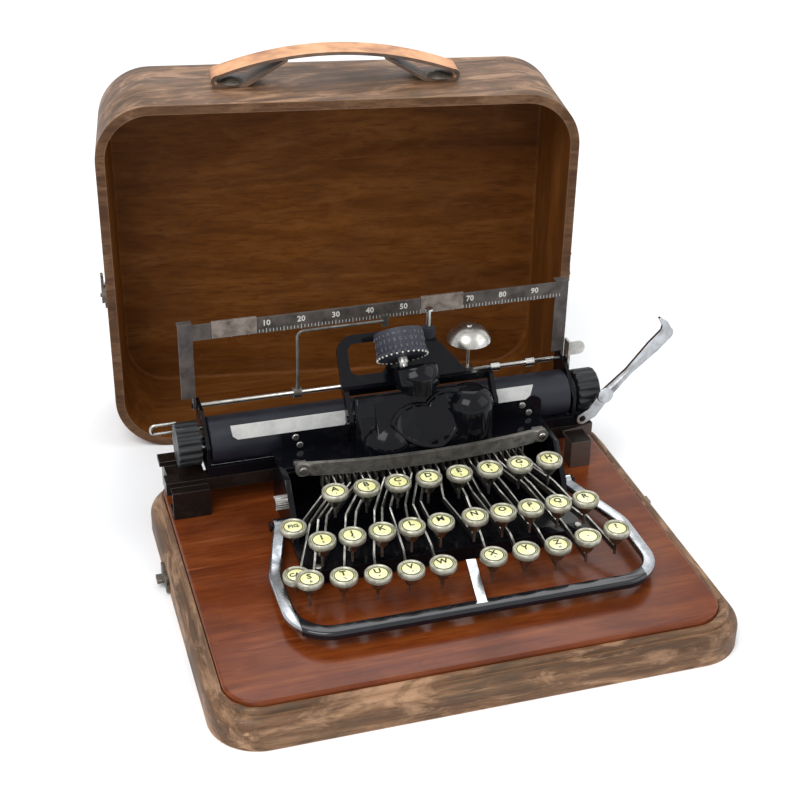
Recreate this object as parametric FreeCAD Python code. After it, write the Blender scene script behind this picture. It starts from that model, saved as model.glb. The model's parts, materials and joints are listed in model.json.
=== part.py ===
import FreeCAD, Part
import math
import os

from FreeCAD import Vector

# Portable typewheel typewriter on its wooden case base, with the case lid standing behind it.
# Origin: centre of the base's underside. +X right, +Y back, +Z up, millimetres.

# Case base: plinth, second step and raised panel
base_width = 360.0
base_depth = 284.0
plinth_height = 22.0
plinth_corner = 34.0
plinth_round = 9.0
step_inset = 7.0
step_height = 4.5
step_round = 2.5
panel_inset = 10.5
panel_inset_right = 15.0
panel_height = 8.0
panel_corner = 24.0
panel_round = 1.5
panel_top = plinth_height + panel_height

# Case lid, standing on its long back side
lid_depth = 104.0
lid_wall = 7.0
lid_corner = 42.0
lid_back_round = 14.0
lid_inner_round = 3.0
lid_panel_depth = 20.0
lid_turn = -8.6
lid_front_x = -9.4
lid_front_y = 203.6

# Strap handle on the lid
strap_span = 186.0
strap_rise = 24.5
strap_width = 25.0
strap_thickness = 2.4
strap_fold_gap = 4.2
strap_under_flat = 22.0
strap_under_reach = 36.0
strap_back = 48.0
strap_clearance = 0.2
stud_shift = 15.5
stud_forward = 5.5
stud_radius = 10.0
stud_height = 3.4

# Catches of the case
catch_width = 14.0
catch_height = 16.0
catch_thickness = 2.0
catch_up = 128.0
catch_back = 18.0
catch_pin = 1.5
latch_length = 20.0
latch_thickness = 2.0
staple_back = 40.0
staple_length = 24.0
staple_height = 10.0
staple_thickness = 2.5

# Keys
key_ring_radius = 9.0
key_ring_height = 3.2
key_face_radius = 7.2
key_face_depth = 0.5
key_cone_top = 7.6
key_cone_foot = 3.4
key_cone_height = 8.0
key_stem_radius = 1.0
key_stem_length = 21.0
key_lever_drop = 17.0
lever_thickness = 1.3
lever_height = 4.2
lever_pitch = 5.0
lever_middle = 9.0
comb_back = 36.0
comb_level = 64.0
fulcrum_back = 64.0
fulcrum_level = 64.0
fulcrum_radius = 2.0
fulcrum_boss = 4.2
pivot_clearance = 0.06
lever_outer_step = 6.0
stem_pass = 5.6

top_row_back = 7.0
top_row_level = 80.0
top_row_start = -67.0
top_row_pitch = 22.2
top_row_letters = "abcdefgh"
middle_row_back = -32.0
middle_row_level = 70.0
middle_left_start = -86.0
middle_left_pitch = 20.5
middle_right_start = 20.0
middle_right_pitch = 20.1
bottom_row_back = -65.0
bottom_row_level = 60.0
bottom_left_start = -101.0
bottom_left_pitch = 22.0
bottom_right_start = 22.0
bottom_right_pitch = 22.8
bottom_row_bend = 7.0
figures_key = Vector(-99.0, -4.0, 64.0)
capitals_key = Vector(-105.5, -40.0, 51.0)
low_cone_top = 6.5
low_cone_height = 5.0
low_stem_length = 13.0
low_lever_drop = 11.0
fan_back = 230.0
bend_start = 60.0
bend_run = 45.0

# Main frame of the machine
frame_left = -95.0
frame_right = 108.0
frame_wall = 4.0
frame_front = -28.0
frame_back = 76.0
frame_foot = 2.0
pan_thickness = 3.0
crossbar_height = 12.0
crossbar_width = 8.0
side_top = 74.0
deck_thickness = 3.0
deck_front = 46.0
cheek_front = 14.0

# Lever guide: curved strip over a comb of thin teeth
guide_left = -80.0
guide_right = 98.0
guide_end_back = 46.0
guide_bulge = 8.0
guide_height = 10.0
guide_thickness = 3.0
guide_bottom = 70.0
guide_ear_proud = 0.8
tooth_thickness = 1.0
tooth_height = 12.0
tooth_depth = 5.0

# Space bar
bar_level = 40.0
bar_width = 9.0
bar_height = 5.0
bar_left = -117.0
bar_right = 133.0
bar_front = -91.0
bar_corner = 27.0
bar_bend_round = 38.0
bar_round = 1.6
bar_bend_back = -25.0
bar_hinge_back = 34.0
bar_boss_radius = 5.0
bar_boss_half = 4.5
bar_left_root = -100.0
bar_right_root = 113.0
bar_grip_left = -113.0
bar_grip_right = 122.0
bar_grip_wall = 0.8
bar_arm_x = 6.0
bar_arm_back_x = 10.5
bar_arm_back = -53.0
bar_arm_top = 49.0
bar_arm_thickness = 3.0
bar_arm_width = 6.5
bar_pin_radius = 2.2
bar_pin_head = 3.6

# Fixed carriage way and its stands
way_left = -171.0
way_right = 155.0
way_front = 82.0
way_depth = 12.0
way_rear = 112.0
way_top = 56.0
way_thickness = 4.0
way_lip = 6.0
way_lip_depth = 2.5
way_lug_places = (-60.0, 0.0, 60.0)
way_lug = 12.0
shelf_thickness = 2.5
stand_left_x = -168.0
stand_left_width = 27.0
stand_front = 74.0
stand_thickness = 2.0
stand_foot = 18.0
post_x = 131.0
post_width = 16.0
post_depth = 13.0
post_front = 64.0

# Carriage
carriage_gap = 0.5
end_left = -140.5
end_right = 137.5
end_thickness = 2.5
end_front = 82.0
end_back = 124.0
end_top = 99.0
end_slope_back = 104.0
end_slope_level = 80.0
front_rail_height = 8.0
front_rail_depth = 3.5
back_bar_height = 5.0
back_bar_depth = 5.0
platen_back = 100.0
platen_level = 76.0
platen_radius = 17.5
platen_gap = 1.2
platen_shaft = 3.0
knob_radius = 16.0
knob_length = 17.0
knob_flutes = 16
knob_flute_depth = 1.3
knob_flute_radius = 2.5
knob_round = 1.5
knob_gap = 2.5
ratchet_radius = 12.0
ratchet_thickness = 2.0
ratchet_teeth = 24
ratchet_tooth = 1.5
ratchet_gap = 1.0
ratchet_room = 4.0
rod_back = 121.0
rod_level = 94.0
rod_radius = 1.8
stop_radius = 3.6
stop_length = 7.0
stop_places = (84.0, 112.0)
loop_back = 119.0
loop_low = 76.0
loop_high = 83.0
loop_reach = 34.0
loop_return = 16.0

# Line space lever
space_lever_gap = 0.6
space_lever_thickness = 2.2
space_lever_pivot_x = 145.0
space_lever_pivot_level = 62.5
space_lever_elbow_x = 152.5
space_lever_elbow_level = 66.5
space_lever_knee_x = 162.0
space_lever_knee_level = 80.5
space_lever_tip_x = 207.5
space_lever_tip_level = 127.0
space_lever_root_width = 9.0
space_lever_knee_width = 9.5
space_lever_waist_width = 6.2
space_lever_waist_share = 0.38
space_lever_paddle_share = 0.78
space_lever_tip_width = 11.0
space_lever_hook_x = 206.0
space_lever_hook_level = 134.5
space_lever_hook_width = 5.0
space_lever_point_x = 200.5
space_lever_point_level = 140.5
space_lever_point_width = 1.6
space_lever_pin = 2.5
space_lever_screw = 6.4
space_lever_screw_height = 1.2
bracket_plate = 4.0
pin_proud = 1.5

# Scale frame, paper wire and release lever
scale_level = 154.0
scale_height = 12.0
scale_thickness = 1.6
scale_arm_width = 6.0
scale_arm_thickness = 1.8
scale_pin_radius = 1.8
scale_pin_reach = 3.4
scale_face_width = 10.0
scale_arm_foot = 102.0
scale_cap = 1.2
scale_clamp = 32.0
scale_clamp_proud = 0.6
scale_clamp_left = -127.0
scale_clamp_right = 27.0
wire_radius = 1.2
wire_left = -66.0
wire_right = -2.0
wire_top = 146.5
wire_bend = 5.0
wire_lean = 4.5
wire_straight = 16.0
wire_eye_radius = 4.0
wire_eye_half = 3.0
wire_tip_width = 5.0
wire_tip_height = 9.0
release_back = 109.0
release_level = 94.0
release_width = 9.0
release_reach = 21.0
release_thickness = 1.6
release_tab_height = 10.5
release_tab = 13.0
release_tab_round = 4.7
release_pin_radius = 1.6

# Bell
bell_x = 66.0
bell_level = 120.0
bell_radius = 16.5
bell_height = 11.5
bell_wall = 1.2
bell_wire = 1.0
bell_clamp = 7.0
bell_nut_radius = 2.2
bell_nut_height = 1.6

# Printing head: casing
head_left = -38.0
head_right = 62.0
head_front = 46.5
head_back = 78.0
head_top = 116.0
head_rear_top = 98.0
head_middle_left = -24.0
head_middle_right = 44.0
head_nose = 5.0
head_wall = 2.4
box_front = 59.0
box_top = 116.0
box_shoulder = 105.0
box_round = 2.0
right_box_top = 101.0
right_box_shoulder = 92.0
dome_x = -14.0
dome_radius = 21.0
dome_back = 64.0
dome_level = 77.0
barrel_x = 46.5
barrel_radius = 17.5
barrel_back = 60.5
barrel_top = 115.0
barrel_round = 13.5
shield_width = 58.0
shield_height = 38.5
shield_notch = 4.0
shield_thickness = 2.5
shield_rim = 2.2
shield_sink = 0.9
shield_crown = 2.6
shield_ball = 90.0
shield_bevel = 0.8
shield_waist = 0.72
shield_waist_share = 0.4
shield_tip_rim = 1.6
shield_crown_share = 0.55
shield_lean = 24.5
shield_turn = -16.0
shield_tip = Vector(22.0, 45.6, 77.8)

# Printing head: swinging frame, type wheel and ink roller
swing_back = 64.0
swing_level = 100.0
swing_pin = 2.5
swing_pin_reach = 6.0
lug_left = -43.0
lug_right = 65.0
lug_thickness = 3.0
lug_radius = 5.5
hub_foot = Vector(9.0, 64.0, 117.5)
hub_radius = 16.0
hub_height = 17.0
hub_lean = 30.0
hub_soft = 4.0
hub_skirt = 13.0
hub_skirt_height = 12.0
hub_round = 2.0
wheel_foot = Vector(-1.5, 70.0, 141.0)
wheel_radius = 17.5
wheel_length = 18.0
wheel_rim = 18.5
wheel_rim_height = 2.0
wheel_notches = 28
wheel_notch = 1.1
wheel_lean = 41.0
wheel_bore = 2.0
wheel_gap = 0.4
spindle_reach = 3.0
spindle_nut = 4.0
spindle_nut_radius = 3.6
strut_radius = 3.0
plate_foot_back = 77.0
foot_bar_depth = 2.0
plate_foot_level = 112.0
plate_left = -43.0
plate_right = 56.0
plate_shelf_left = 19.5
plate_shelf_right = 31.0
plate_shelf_height = 32.5
plate_crest = 14.5
plate_thickness = 2.5
plate_lean = 32.0
plate_height = 42.0
plate_corner = 13.0
window_left = -35.0
window_right = -8.0
window_bottom = 13.0
window_rail = 6.5
window_corner = 6.0
ink_foot = Vector(26.0, 97.0, 140.0)
ink_post_radius = 1.6
ink_post_height = 21.0
ink_cap_radius = 3.0
ink_cap_height = 1.6
ink_roller_radius = 5.0
ink_roller_length = 6.0
ink_flange_radius = 4.4
ink_flange = 1.4
ink_seat = 4.0

# Line gauges
gauge_thickness = 0.8
gauge_bottom = 89.0
gauge_height = 11.5
gauge_left_outer = -124.5
gauge_left_inner = -42.0
gauge_right_inner = 70.0
gauge_right_outer = 101.0
bracket_thickness = 1.6
bracket_height = 19.0
bracket_screws_left = ((13.0, 6.4), (10.0, 13.2))
bracket_screws_right = ((10.0, 6.4), (15.5, 13.2))
bracket_bottom = 71.0
bracket_left_outer = -88.0
bracket_right_outer = 109.0
bracket_inner = 6.0

# Thumb screw on the left cheek
thumb_back = 40.0
thumb_level = 55.0
thumb_radius = 5.0
thumb_length = 7.0
thumb_flutes = 18
thumb_flute = 0.7

screw_radius = 2.6
screw_height = 1.4


def box(x0, x1, y0, y1, z0, z1):
    return Part.makeBox(x1 - x0, y1 - y0, z1 - z0, Vector(x0, y0, z0))


def cylinder(radius, length, start, axis):
    return Part.makeCylinder(radius, length, start, axis)


def rod_x(radius, x0, x1, y, z):
    return cylinder(radius, x1 - x0, Vector(x0, y, z), Vector(1, 0, 0))


def fuse_all(solids):
    whole = solids[0].fuse(solids[1:]) if len(solids) > 1 else solids[0]
    return whole.removeSplitter()


def rounded_outline(width, depth, corner, level, shift=0.0):
    # Rectangle with round corners, centred on x = shift
    x = width / 2
    y = depth / 2
    edges = []
    for turn in range(4):
        angle = math.radians(90 * turn)
        sign_x = (1, -1, -1, 1)[turn]
        sign_y = (1, 1, -1, -1)[turn]
        centre = Vector(shift + sign_x * (x - corner), sign_y * (y - corner), level)
        start, middle, end = (
            centre + Vector(corner * math.cos(angle + step), corner * math.sin(angle + step), 0)
            for step in (0, math.pi / 4, math.pi / 2)
        )
        if edges:
            edges.append(Part.LineSegment(edges[-1].Vertexes[-1].Point, start).toShape())
        edges.append(Part.Arc(start, middle, end).toShape())
    edges.append(Part.LineSegment(edges[-1].Vertexes[-1].Point, edges[0].Vertexes[0].Point).toShape())
    return Part.Wire(edges)


def rounded_block(width, depth, corner, z0, z1, shift=0.0):
    face = Part.Face(rounded_outline(width, depth, corner, z0, shift))
    return face.extrude(Vector(0, 0, z1 - z0))


def round_level_edges(solid, level, radius):
    edges = [e for e in solid.Edges if all(abs(v.Z - level) < 0.01 for v in e.Vertexes)]
    return solid.makeFillet(radius, edges)


def polygon_plate(points, thickness):
    # Flat plate from an outline of vectors, thickened along the given vector
    wire = Part.makePolygon(points + [points[0]])
    return Part.Face(wire).extrude(thickness)


def bar_between(start, end, height, thickness):
    # Upright flat bar whose middle line runs from start to end
    run = Vector(end.x - start.x, end.y - start.y, 0)
    side = Vector(-run.y, run.x, 0).normalize() * thickness
    up = Vector(0, 0, height / 2)
    corners = [start - up, end - up, end + up, start + up]
    plate = polygon_plate(corners, side)
    plate.translate(side * -0.5)
    return plate


def smooth_path(points, radii):
    # Wire of straight runs joined by an arc at each corner
    edges = []
    last = points[0]
    for before, corner, after, radius in zip(points, points[1:], points[2:], radii):
        into = (corner - before).normalize()
        out = (after - corner).normalize()
        half_turn = into.getAngle(out) / 2
        back = radius * math.tan(half_turn)
        start = corner - into * back
        end = corner + out * back
        inward = (out - into).normalize()
        middle = corner + inward * (radius / math.cos(half_turn) - radius)
        edges.append(Part.LineSegment(last, start).toShape())
        edges.append(Part.Arc(start, middle, end).toShape())
        last = end
    edges.append(Part.LineSegment(last, points[-1]).toShape())
    return Part.Wire(edges)


def wire_rod(points, bend, radius):
    path = smooth_path(points, [bend] * (len(points) - 2))
    start = points[0]
    section = Part.Wire(Part.makeCircle(radius, start, points[1] - start))
    return path.makePipeShell([section], True, False)


def rounded_section(width, height, corner, centre):
    # Rounded rectangle standing in the plane y = centre.y
    x = width / 2
    z = height / 2
    turns = ((x - corner, z - corner, 0), (corner - x, z - corner, 90),
             (corner - x, corner - z, 180), (x - corner, corner - z, 270))
    edges = []
    for shift_x, shift_z, angle in turns:
        arc_points = []
        for step in (0, 45, 90):
            turn = math.radians(angle + step)
            arc_points.append(centre + Vector(shift_x + corner * math.cos(turn), 0,
                                              shift_z + corner * math.sin(turn)))
        if edges:
            edges.append(Part.LineSegment(edges[-1].Vertexes[-1].Point, arc_points[0]).toShape())
        edges.append(Part.Arc(*arc_points).toShape())
    edges.append(Part.LineSegment(edges[-1].Vertexes[-1].Point, edges[0].Vertexes[0].Point).toShape())
    return Part.Wire(edges)


def screw_head(place, direction, radius=screw_radius, height=screw_height):
    head = cylinder(radius, height, place, direction)
    rim = [e for e in head.Edges if isinstance(e.Curve, Part.Circle)]
    outer = max(rim, key=lambda e: e.CenterOfMass.sub(place).dot(direction))
    return head.makeFillet(height * 0.45, [outer])


# Case base

def base_plinth():
    block = rounded_block(base_width, base_depth, plinth_corner, 0, plinth_height)
    block = round_level_edges(block, plinth_height, plinth_round)
    inset = 2 * step_inset
    step = rounded_block(base_width - inset, base_depth - inset, plinth_corner - step_inset,
                         plinth_height, plinth_height + step_height)
    step = round_level_edges(step, plinth_height + step_height, step_round)
    seat_width, seat_shift = panel_size(0.4)
    seat = rounded_block(seat_width, base_depth - 2 * panel_inset + 0.8, panel_corner + 0.4,
                         plinth_height, plinth_height + step_height, seat_shift)
    return block.fuse(step).removeSplitter().cut(seat)


def panel_size(margin=0.0):
    width = base_width - panel_inset - panel_inset_right + 2 * margin
    return width, (panel_inset - panel_inset_right) / 2


def base_panel():
    width, shift = panel_size()
    block = rounded_block(width, base_depth - 2 * panel_inset, panel_corner,
                          plinth_height, panel_top, shift)
    return round_level_edges(block, panel_top, panel_round)


def base_catches():
    staples = []
    for side in (-1, 1):
        face = side * base_width / 2
        x0, x1 = sorted((face, face + side * staple_thickness))
        plate = box(x0, x1, staple_back - staple_length / 2, staple_back + staple_length / 2,
                    2.0, 2.0 + staple_height)
        lug_x0, lug_x1 = sorted((face, face + side * 3 * staple_thickness))
        lug = box(lug_x0, lug_x1, staple_back - 4, staple_back + 4, 5.0, 8.0)
        staples.append(plate.fuse(lug))
    return Part.makeCompound(staples)


# Case lid, made in its own frame and then stood behind the base

def place_lid(shape):
    shape.rotate(Vector(0, 0, 0), Vector(0, 0, 1), lid_turn)
    shape.translate(Vector(lid_front_x, lid_front_y, 0))
    return shape


def lid_block(inset, depth, back_round):
    # Rounded box lying along +Y, on the lid's own z range
    corner = lid_corner - inset
    block = rounded_block(base_width - 2 * inset, base_depth - 2 * inset, corner, 0, depth)
    block = round_level_edges(block, depth, back_round)
    block.rotate(Vector(0, 0, 0), Vector(1, 0, 0), -90)
    block.translate(Vector(0, 0, base_depth / 2))
    return block


def lid_shell():
    outer = lid_block(0, lid_depth, lid_back_round)
    inner = lid_block(lid_wall, lid_depth - lid_wall, lid_inner_round)
    return outer.cut(inner)


def lid_part(y0, y1):
    reach = base_width
    return lid_shell().common(box(-reach, reach, y0, y1, -1, base_depth + 1))


def lid_band():
    return place_lid(lid_part(0, lid_depth - lid_panel_depth))


def lid_panel():
    return place_lid(lid_part(lid_depth - lid_panel_depth, lid_depth + 1))


def strap_arch(level):
    # One long face of the arched top layer, from fold to fold
    flat = strap_span / 2 - strap_fold_gap / 2 - strap_thickness
    base = base_depth + strap_clearance
    return Part.Arc(Vector(-flat, 0, base + strap_thickness + strap_fold_gap + level),
                    Vector(0, 0, base + strap_rise - strap_thickness + level),
                    Vector(flat, 0, base + strap_thickness + strap_fold_gap + level))


def strap_fold(side):
    # Half ring where the strap turns under itself
    inner = strap_fold_gap / 2
    outer = inner + strap_thickness
    centre = Vector(side * (strap_span / 2 - outer), 0, base_depth + strap_clearance + outer)
    ring = cylinder(outer, strap_width, centre, Vector(0, 1, 0)).cut(
        cylinder(inner, strap_width, centre, Vector(0, 1, 0)))
    x0, x1 = sorted((centre.x, centre.x + 2 * side * outer))
    return ring.common(box(x0, x1, 0, strap_width, base_depth, base_depth + 4 * outer))


def strap_under(side):
    # Lower layer: flat on the lid and then rising to the arch
    start = side * (strap_span / 2 - strap_fold_gap / 2 - strap_thickness)
    bend = start - side * strap_under_flat
    reach = side * strap_under_reach
    low = base_depth + strap_clearance
    curve = strap_arch(0)
    share = (reach / start + 1) / 2
    top = curve.value(curve.FirstParameter + (curve.LastParameter - curve.FirstParameter) * share)
    high = top.z + strap_thickness / 2
    outline = [Vector(start, 0, low), Vector(bend, 0, low), Vector(reach, 0, high - strap_thickness),
               Vector(reach, 0, high), Vector(bend, 0, low + strap_thickness),
               Vector(start, 0, low + strap_thickness)]
    return polygon_plate(outline, Vector(0, strap_width, 0))


def lid_handle():
    low = strap_arch(0)
    high = strap_arch(strap_thickness)
    ends = [Part.LineSegment(low.StartPoint, high.StartPoint), Part.LineSegment(low.EndPoint, high.EndPoint)]
    edges = [curve.toShape() for curve in [low, high] + ends]
    arch = Part.Face(Part.Wire(Part.sortEdges(edges)[0])).extrude(Vector(0, strap_width, 0))
    strap = fuse_all([arch, strap_fold(-1), strap_fold(1), strap_under(-1), strap_under(1)])
    strap.translate(Vector(0, strap_back - strap_width / 2, 0))
    return place_lid(strap)


def handle_studs():
    # Flat domes that hold the lower layer of the strap
    studs = []
    ball = (stud_radius ** 2 + stud_height ** 2) / (2 * stud_height)
    for side in (-1, 1):
        foot = Vector(side * (strap_span / 2 - stud_shift), strap_back - stud_forward,
                      base_depth + strap_clearance + strap_thickness)
        dome = Part.makeSphere(ball, foot + Vector(0, 0, stud_height - ball))
        studs.append(dome.common(cylinder(ball, ball, foot, Vector(0, 0, 1))))
    return studs


def catch_plate(side):
    face = side * base_width / 2
    x0, x1 = sorted((face, face + side * catch_thickness))
    plate = box(x0, x1, catch_back - catch_width / 2, catch_back + catch_width / 2,
                catch_up - catch_height / 2, catch_up + catch_height / 2)
    reach = catch_thickness + latch_thickness + 1.5
    pin = cylinder(catch_pin, reach, Vector(face, catch_back, catch_up), Vector(side, 0, 0))
    return plate.fuse(pin)


def lid_fittings():
    plates = [catch_plate(-1), catch_plate(1)]
    return place_lid(Part.makeCompound(plates + handle_studs()))


def latch(side):
    # Flat hook on its pin, pointing up
    face = side * (base_width / 2 + catch_thickness + 0.3)
    outline = [Vector(face, -4.5, -5), Vector(face, 4.5, -5), Vector(face, 5, 6),
               Vector(face, 2, latch_length - 4), Vector(face, -2, latch_length),
               Vector(face, -5, latch_length - 1), Vector(face, -1, latch_length - 5),
               Vector(face, -3.5, 6)]
    hook = polygon_plate(outline, Vector(side * latch_thickness, 0, 0))
    hook.translate(Vector(0, catch_back, catch_up))
    hole = cylinder(catch_pin + pivot_clearance, 3 * latch_thickness,
                    Vector(face - side, catch_back, catch_up), Vector(side, 0, 0))
    return place_lid(hook.cut(hole))


# Keys and their levers

def row_places(start, pitch, count, back, level):
    return [Vector(start + pitch * i, back, level) for i in range(count)]


def bottom_bend(x):
    # The bottom row curves back toward its ends
    reach = max(0.0, abs(x - lever_middle) - bend_start)
    return bottom_row_back + bottom_row_bend * min(1.0, reach / bend_run)


def key_places():
    top = row_places(top_row_start, top_row_pitch, 8, top_row_back, top_row_level)
    middle = row_places(middle_left_start, middle_left_pitch, 5, middle_row_back, middle_row_level)
    middle += row_places(middle_right_start, middle_right_pitch, 5, middle_row_back, middle_row_level)
    bottom = row_places(bottom_left_start, bottom_left_pitch, 5, bottom_row_back, bottom_row_level)
    bottom += row_places(bottom_right_start, bottom_right_pitch, 5, bottom_row_back, bottom_row_level)
    for place in bottom:
        place.y = bottom_bend(place.x)
    return top, middle, bottom


def step_aside(x, stems, room):
    # Nearest place to x that leaves room beside every stem
    nearest = min(stems, key=lambda stem: abs(stem - x))
    if abs(nearest - x) >= room:
        return x
    return nearest + room if x >= nearest else nearest - room


def gap_number(x, stems):
    return sum(1 for stem in stems if stem < x)


def share_gaps(crossings, stems):
    # Even places for the levers that cross a row, gap by gap between its stems
    places = {}
    for gap in range(len(stems) + 1):
        inside = [name for name, x in crossings if gap_number(x, stems) == gap]
        for i, name in enumerate(inside):
            if gap == 0:
                places[name] = stems[0] - lever_outer_step * (len(inside) - i)
            elif gap == len(stems):
                places[name] = stems[-1] + lever_outer_step * (i + 1)
            else:
                width = stems[gap] - stems[gap - 1]
                places[name] = stems[gap - 1] + width * (i + 1) / (len(inside) + 1)
    return places


def lever_paths():
    # Plan path of every lever: comb slot, place in the top row, place in the middle row, key
    top, middle, bottom = key_places()
    top_stems = [place.x for place in top]
    middle_stems = [place.x for place in middle]
    keys = {"key_" + letter: place for letter, place in zip(top_row_letters, top)}
    lower_names = [chr(code) for code in range(ord("i"), ord("z") + 1)] + ["stop", "query"]
    for name, place in zip(lower_names, middle + bottom):
        keys["key_" + name] = place
    keys["key_figures"] = figures_key
    keys["key_capitals"] = capitals_key

    def bearing_x(place, back):
        return lever_middle + (place.x - lever_middle) * (fan_back - back) / (fan_back - place.y)

    middle_pass = {}
    for name, place in keys.items():
        if place in bottom:
            middle_pass[name] = step_aside(bearing_x(place, middle_row_back), middle_stems, stem_pass)
        elif place in middle:
            middle_pass[name] = place.x
    order = sorted(middle_pass, key=lambda name: middle_pass[name])
    outside = min(top_stems + middle_stems) - 1
    crossings = [("key_figures", outside), ("key_capitals", outside)]
    for name in order:
        lean = (fan_back - top_row_back) / (fan_back - middle_row_back)
        crossings.append((name, lever_middle + (middle_pass[name] - lever_middle) * lean))
    top_pass = share_gaps(crossings, top_stems)
    at_top_row = dict(top_pass)
    for name, place in keys.items():
        if place in top:
            at_top_row[name] = place.x
    slots = sorted(at_top_row, key=lambda name: at_top_row[name])
    paths = {}
    for number, name in enumerate(slots):
        place = keys[name]
        slot_x = lever_middle + lever_pitch * (number - (len(slots) - 1) / 2)
        path = [(slot_x, comb_back)]
        if name in top_pass:
            path.append((top_pass[name], top_row_back))
        if place in bottom:
            path.append((middle_pass[name], middle_row_back))
        path.append((place.x, place.y))
        paths[name] = path
    return keys, paths


def is_low(place):
    # The two shift keys stand low, on short stems
    return place in (figures_key, capitals_key)


def key_cap(place):
    low = is_low(place)
    cone_height = low_cone_height if low else key_cone_height
    cone_top = low_cone_top if low else key_cone_top
    stem_length = low_stem_length if low else key_stem_length
    ring = cylinder(key_ring_radius, key_ring_height, Vector(place.x, place.y, place.z - key_ring_height),
                    Vector(0, 0, 1))
    cone = Part.makeCone(key_cone_foot, cone_top, cone_height,
                         Vector(place.x, place.y, place.z - key_ring_height - cone_height))
    stem = cylinder(key_stem_radius, stem_length - key_ring_height,
                    Vector(place.x, place.y, place.z - stem_length), Vector(0, 0, 1))
    face = cylinder(key_face_radius, key_face_depth,
                    Vector(place.x, place.y, place.z - key_face_depth), Vector(0, 0, 1))
    return ring.cut(face).fuse([cone, stem])


def lever_level(back, place):
    # Height of a lever's middle line between the comb and its key
    end = place.z - (low_lever_drop if is_low(place) else key_lever_drop)
    share = (comb_back - back) / (comb_back - place.y)
    return comb_level + (end - comb_level) * share


def key_with_lever(place, path):
    slot_x = path[0][0]
    rear = Vector(slot_x, fulcrum_back + fulcrum_boss + 1, fulcrum_level)
    comb = Vector(slot_x, comb_back, comb_level)
    solids = [bar_between(rear, comb, lever_height, lever_thickness)]
    last = comb
    for x, back in path[1:]:
        point = Vector(x, back, lever_level(back, place))
        solids.append(bar_between(last, point, lever_height, lever_thickness))
        solids.append(cylinder(lever_thickness / 2, lever_height,
                               Vector(last.x, last.y, last.z - lever_height / 2), Vector(0, 0, 1)))
        last = point
    boss_x = slot_x - lever_thickness / 2
    solids.append(rod_x(fulcrum_boss, boss_x, boss_x + lever_thickness, fulcrum_back, fulcrum_level))
    solids.append(key_cap(place))
    whole = solids[0]
    for solid in solids[1:]:
        whole = whole.fuse(solid)
    hole = rod_x(fulcrum_radius + pivot_clearance, boss_x - 1, boss_x + lever_thickness + 1,
                 fulcrum_back, fulcrum_level)
    return whole.cut(hole).removeSplitter()


def slot_span():
    count = len(lever_paths()[1])
    half = lever_pitch * count / 2
    return lever_middle - half, lever_middle + half


# Main frame

def main_frame():
    z0 = panel_top
    left, right = frame_left, frame_right
    pan_top = z0 + frame_foot + pan_thickness
    pieces = [box(left, right, frame_front, frame_back, z0 + frame_foot, pan_top)]
    for x in (left, right - crossbar_width):
        for y in (frame_front, frame_back - crossbar_width):
            pieces.append(box(x, x + crossbar_width, y, y + crossbar_width, z0, pan_top))
    pieces.append(box(left, right, frame_front, frame_front + crossbar_width, pan_top,
                      z0 + crossbar_height))
    for x in (left, right - frame_wall):
        outline = [Vector(x, cheek_front, pan_top), Vector(x, frame_back, pan_top),
                   Vector(x, frame_back, side_top), Vector(x, deck_front - 8, side_top),
                   Vector(x, cheek_front + 4, side_top - 22)]
        pieces.append(polygon_plate(outline, Vector(frame_wall, 0, 0)))
    pieces.append(box(left, right, frame_back - frame_wall, frame_back, pan_top, side_top))
    deck = box(left, right, deck_front + 6, frame_back, side_top - deck_thickness, side_top)
    pieces.append(deck)
    for face, side, root in ((left, -1, bar_left_root), (right, 1, bar_right_root)):
        tip = root + side * (bar_boss_half + pin_proud)
        x0, x1 = sorted((face, tip))
        pieces.append(rod_x(bar_pin_radius, x0, x1, bar_hinge_back, bar_level))
        x0, x1 = sorted((tip, tip + side * pin_proud))
        pieces.append(rod_x(bar_pin_head, x0, x1, bar_hinge_back, bar_level))
    return fuse_all(pieces)


def fulcrum_rod():
    return rod_x(fulcrum_radius, frame_left + frame_wall, frame_right - frame_wall,
                 fulcrum_back, fulcrum_level)


def guide_strip():
    # Strip on edge, bent in plan so that its middle stands forward
    middle_x = (guide_left + guide_right) / 2

    def arc(offset):
        return Part.Arc(Vector(guide_left, guide_end_back + offset, guide_bottom),
                        Vector(middle_x, guide_end_back - guide_bulge + offset, guide_bottom),
                        Vector(guide_right, guide_end_back + offset, guide_bottom)).toShape()

    front = arc(0)
    back = arc(guide_thickness)
    ends = [Part.LineSegment(front.Vertexes[i].Point, back.Vertexes[i].Point).toShape() for i in (0, 1)]
    outline = Part.Wire(Part.sortEdges([front, back] + ends)[0])
    strip = Part.Face(outline).extrude(Vector(0, 0, guide_height))
    ears = []
    for x in (guide_left, guide_right):
        ear = cylinder(guide_height / 2, guide_thickness + guide_ear_proud,
                       Vector(x, guide_end_back - guide_ear_proud, guide_bottom + guide_height / 2),
                       Vector(0, 1, 0))
        foot = box(x - 4, x + 4, guide_end_back, guide_end_back + 10, side_top, side_top + 2.5)
        ears += [ear, foot]
    return fuse_all([strip] + ears)


def lever_guide():
    strip = guide_strip()
    left, right = slot_span()
    count = int(round((right - left) / lever_pitch)) + 1
    teeth = []
    for i in range(count):
        x = left + lever_pitch * i
        teeth.append(box(x - tooth_thickness / 2, x + tooth_thickness / 2, guide_end_back,
                         guide_end_back + tooth_depth, guide_bottom - tooth_height, guide_bottom + 2))
    rail = box(left - 3, right + 3, guide_end_back + guide_thickness, guide_end_back + tooth_depth,
               guide_bottom, guide_bottom + 3)
    return fuse_all([strip, rail] + teeth)


# Space bar

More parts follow.
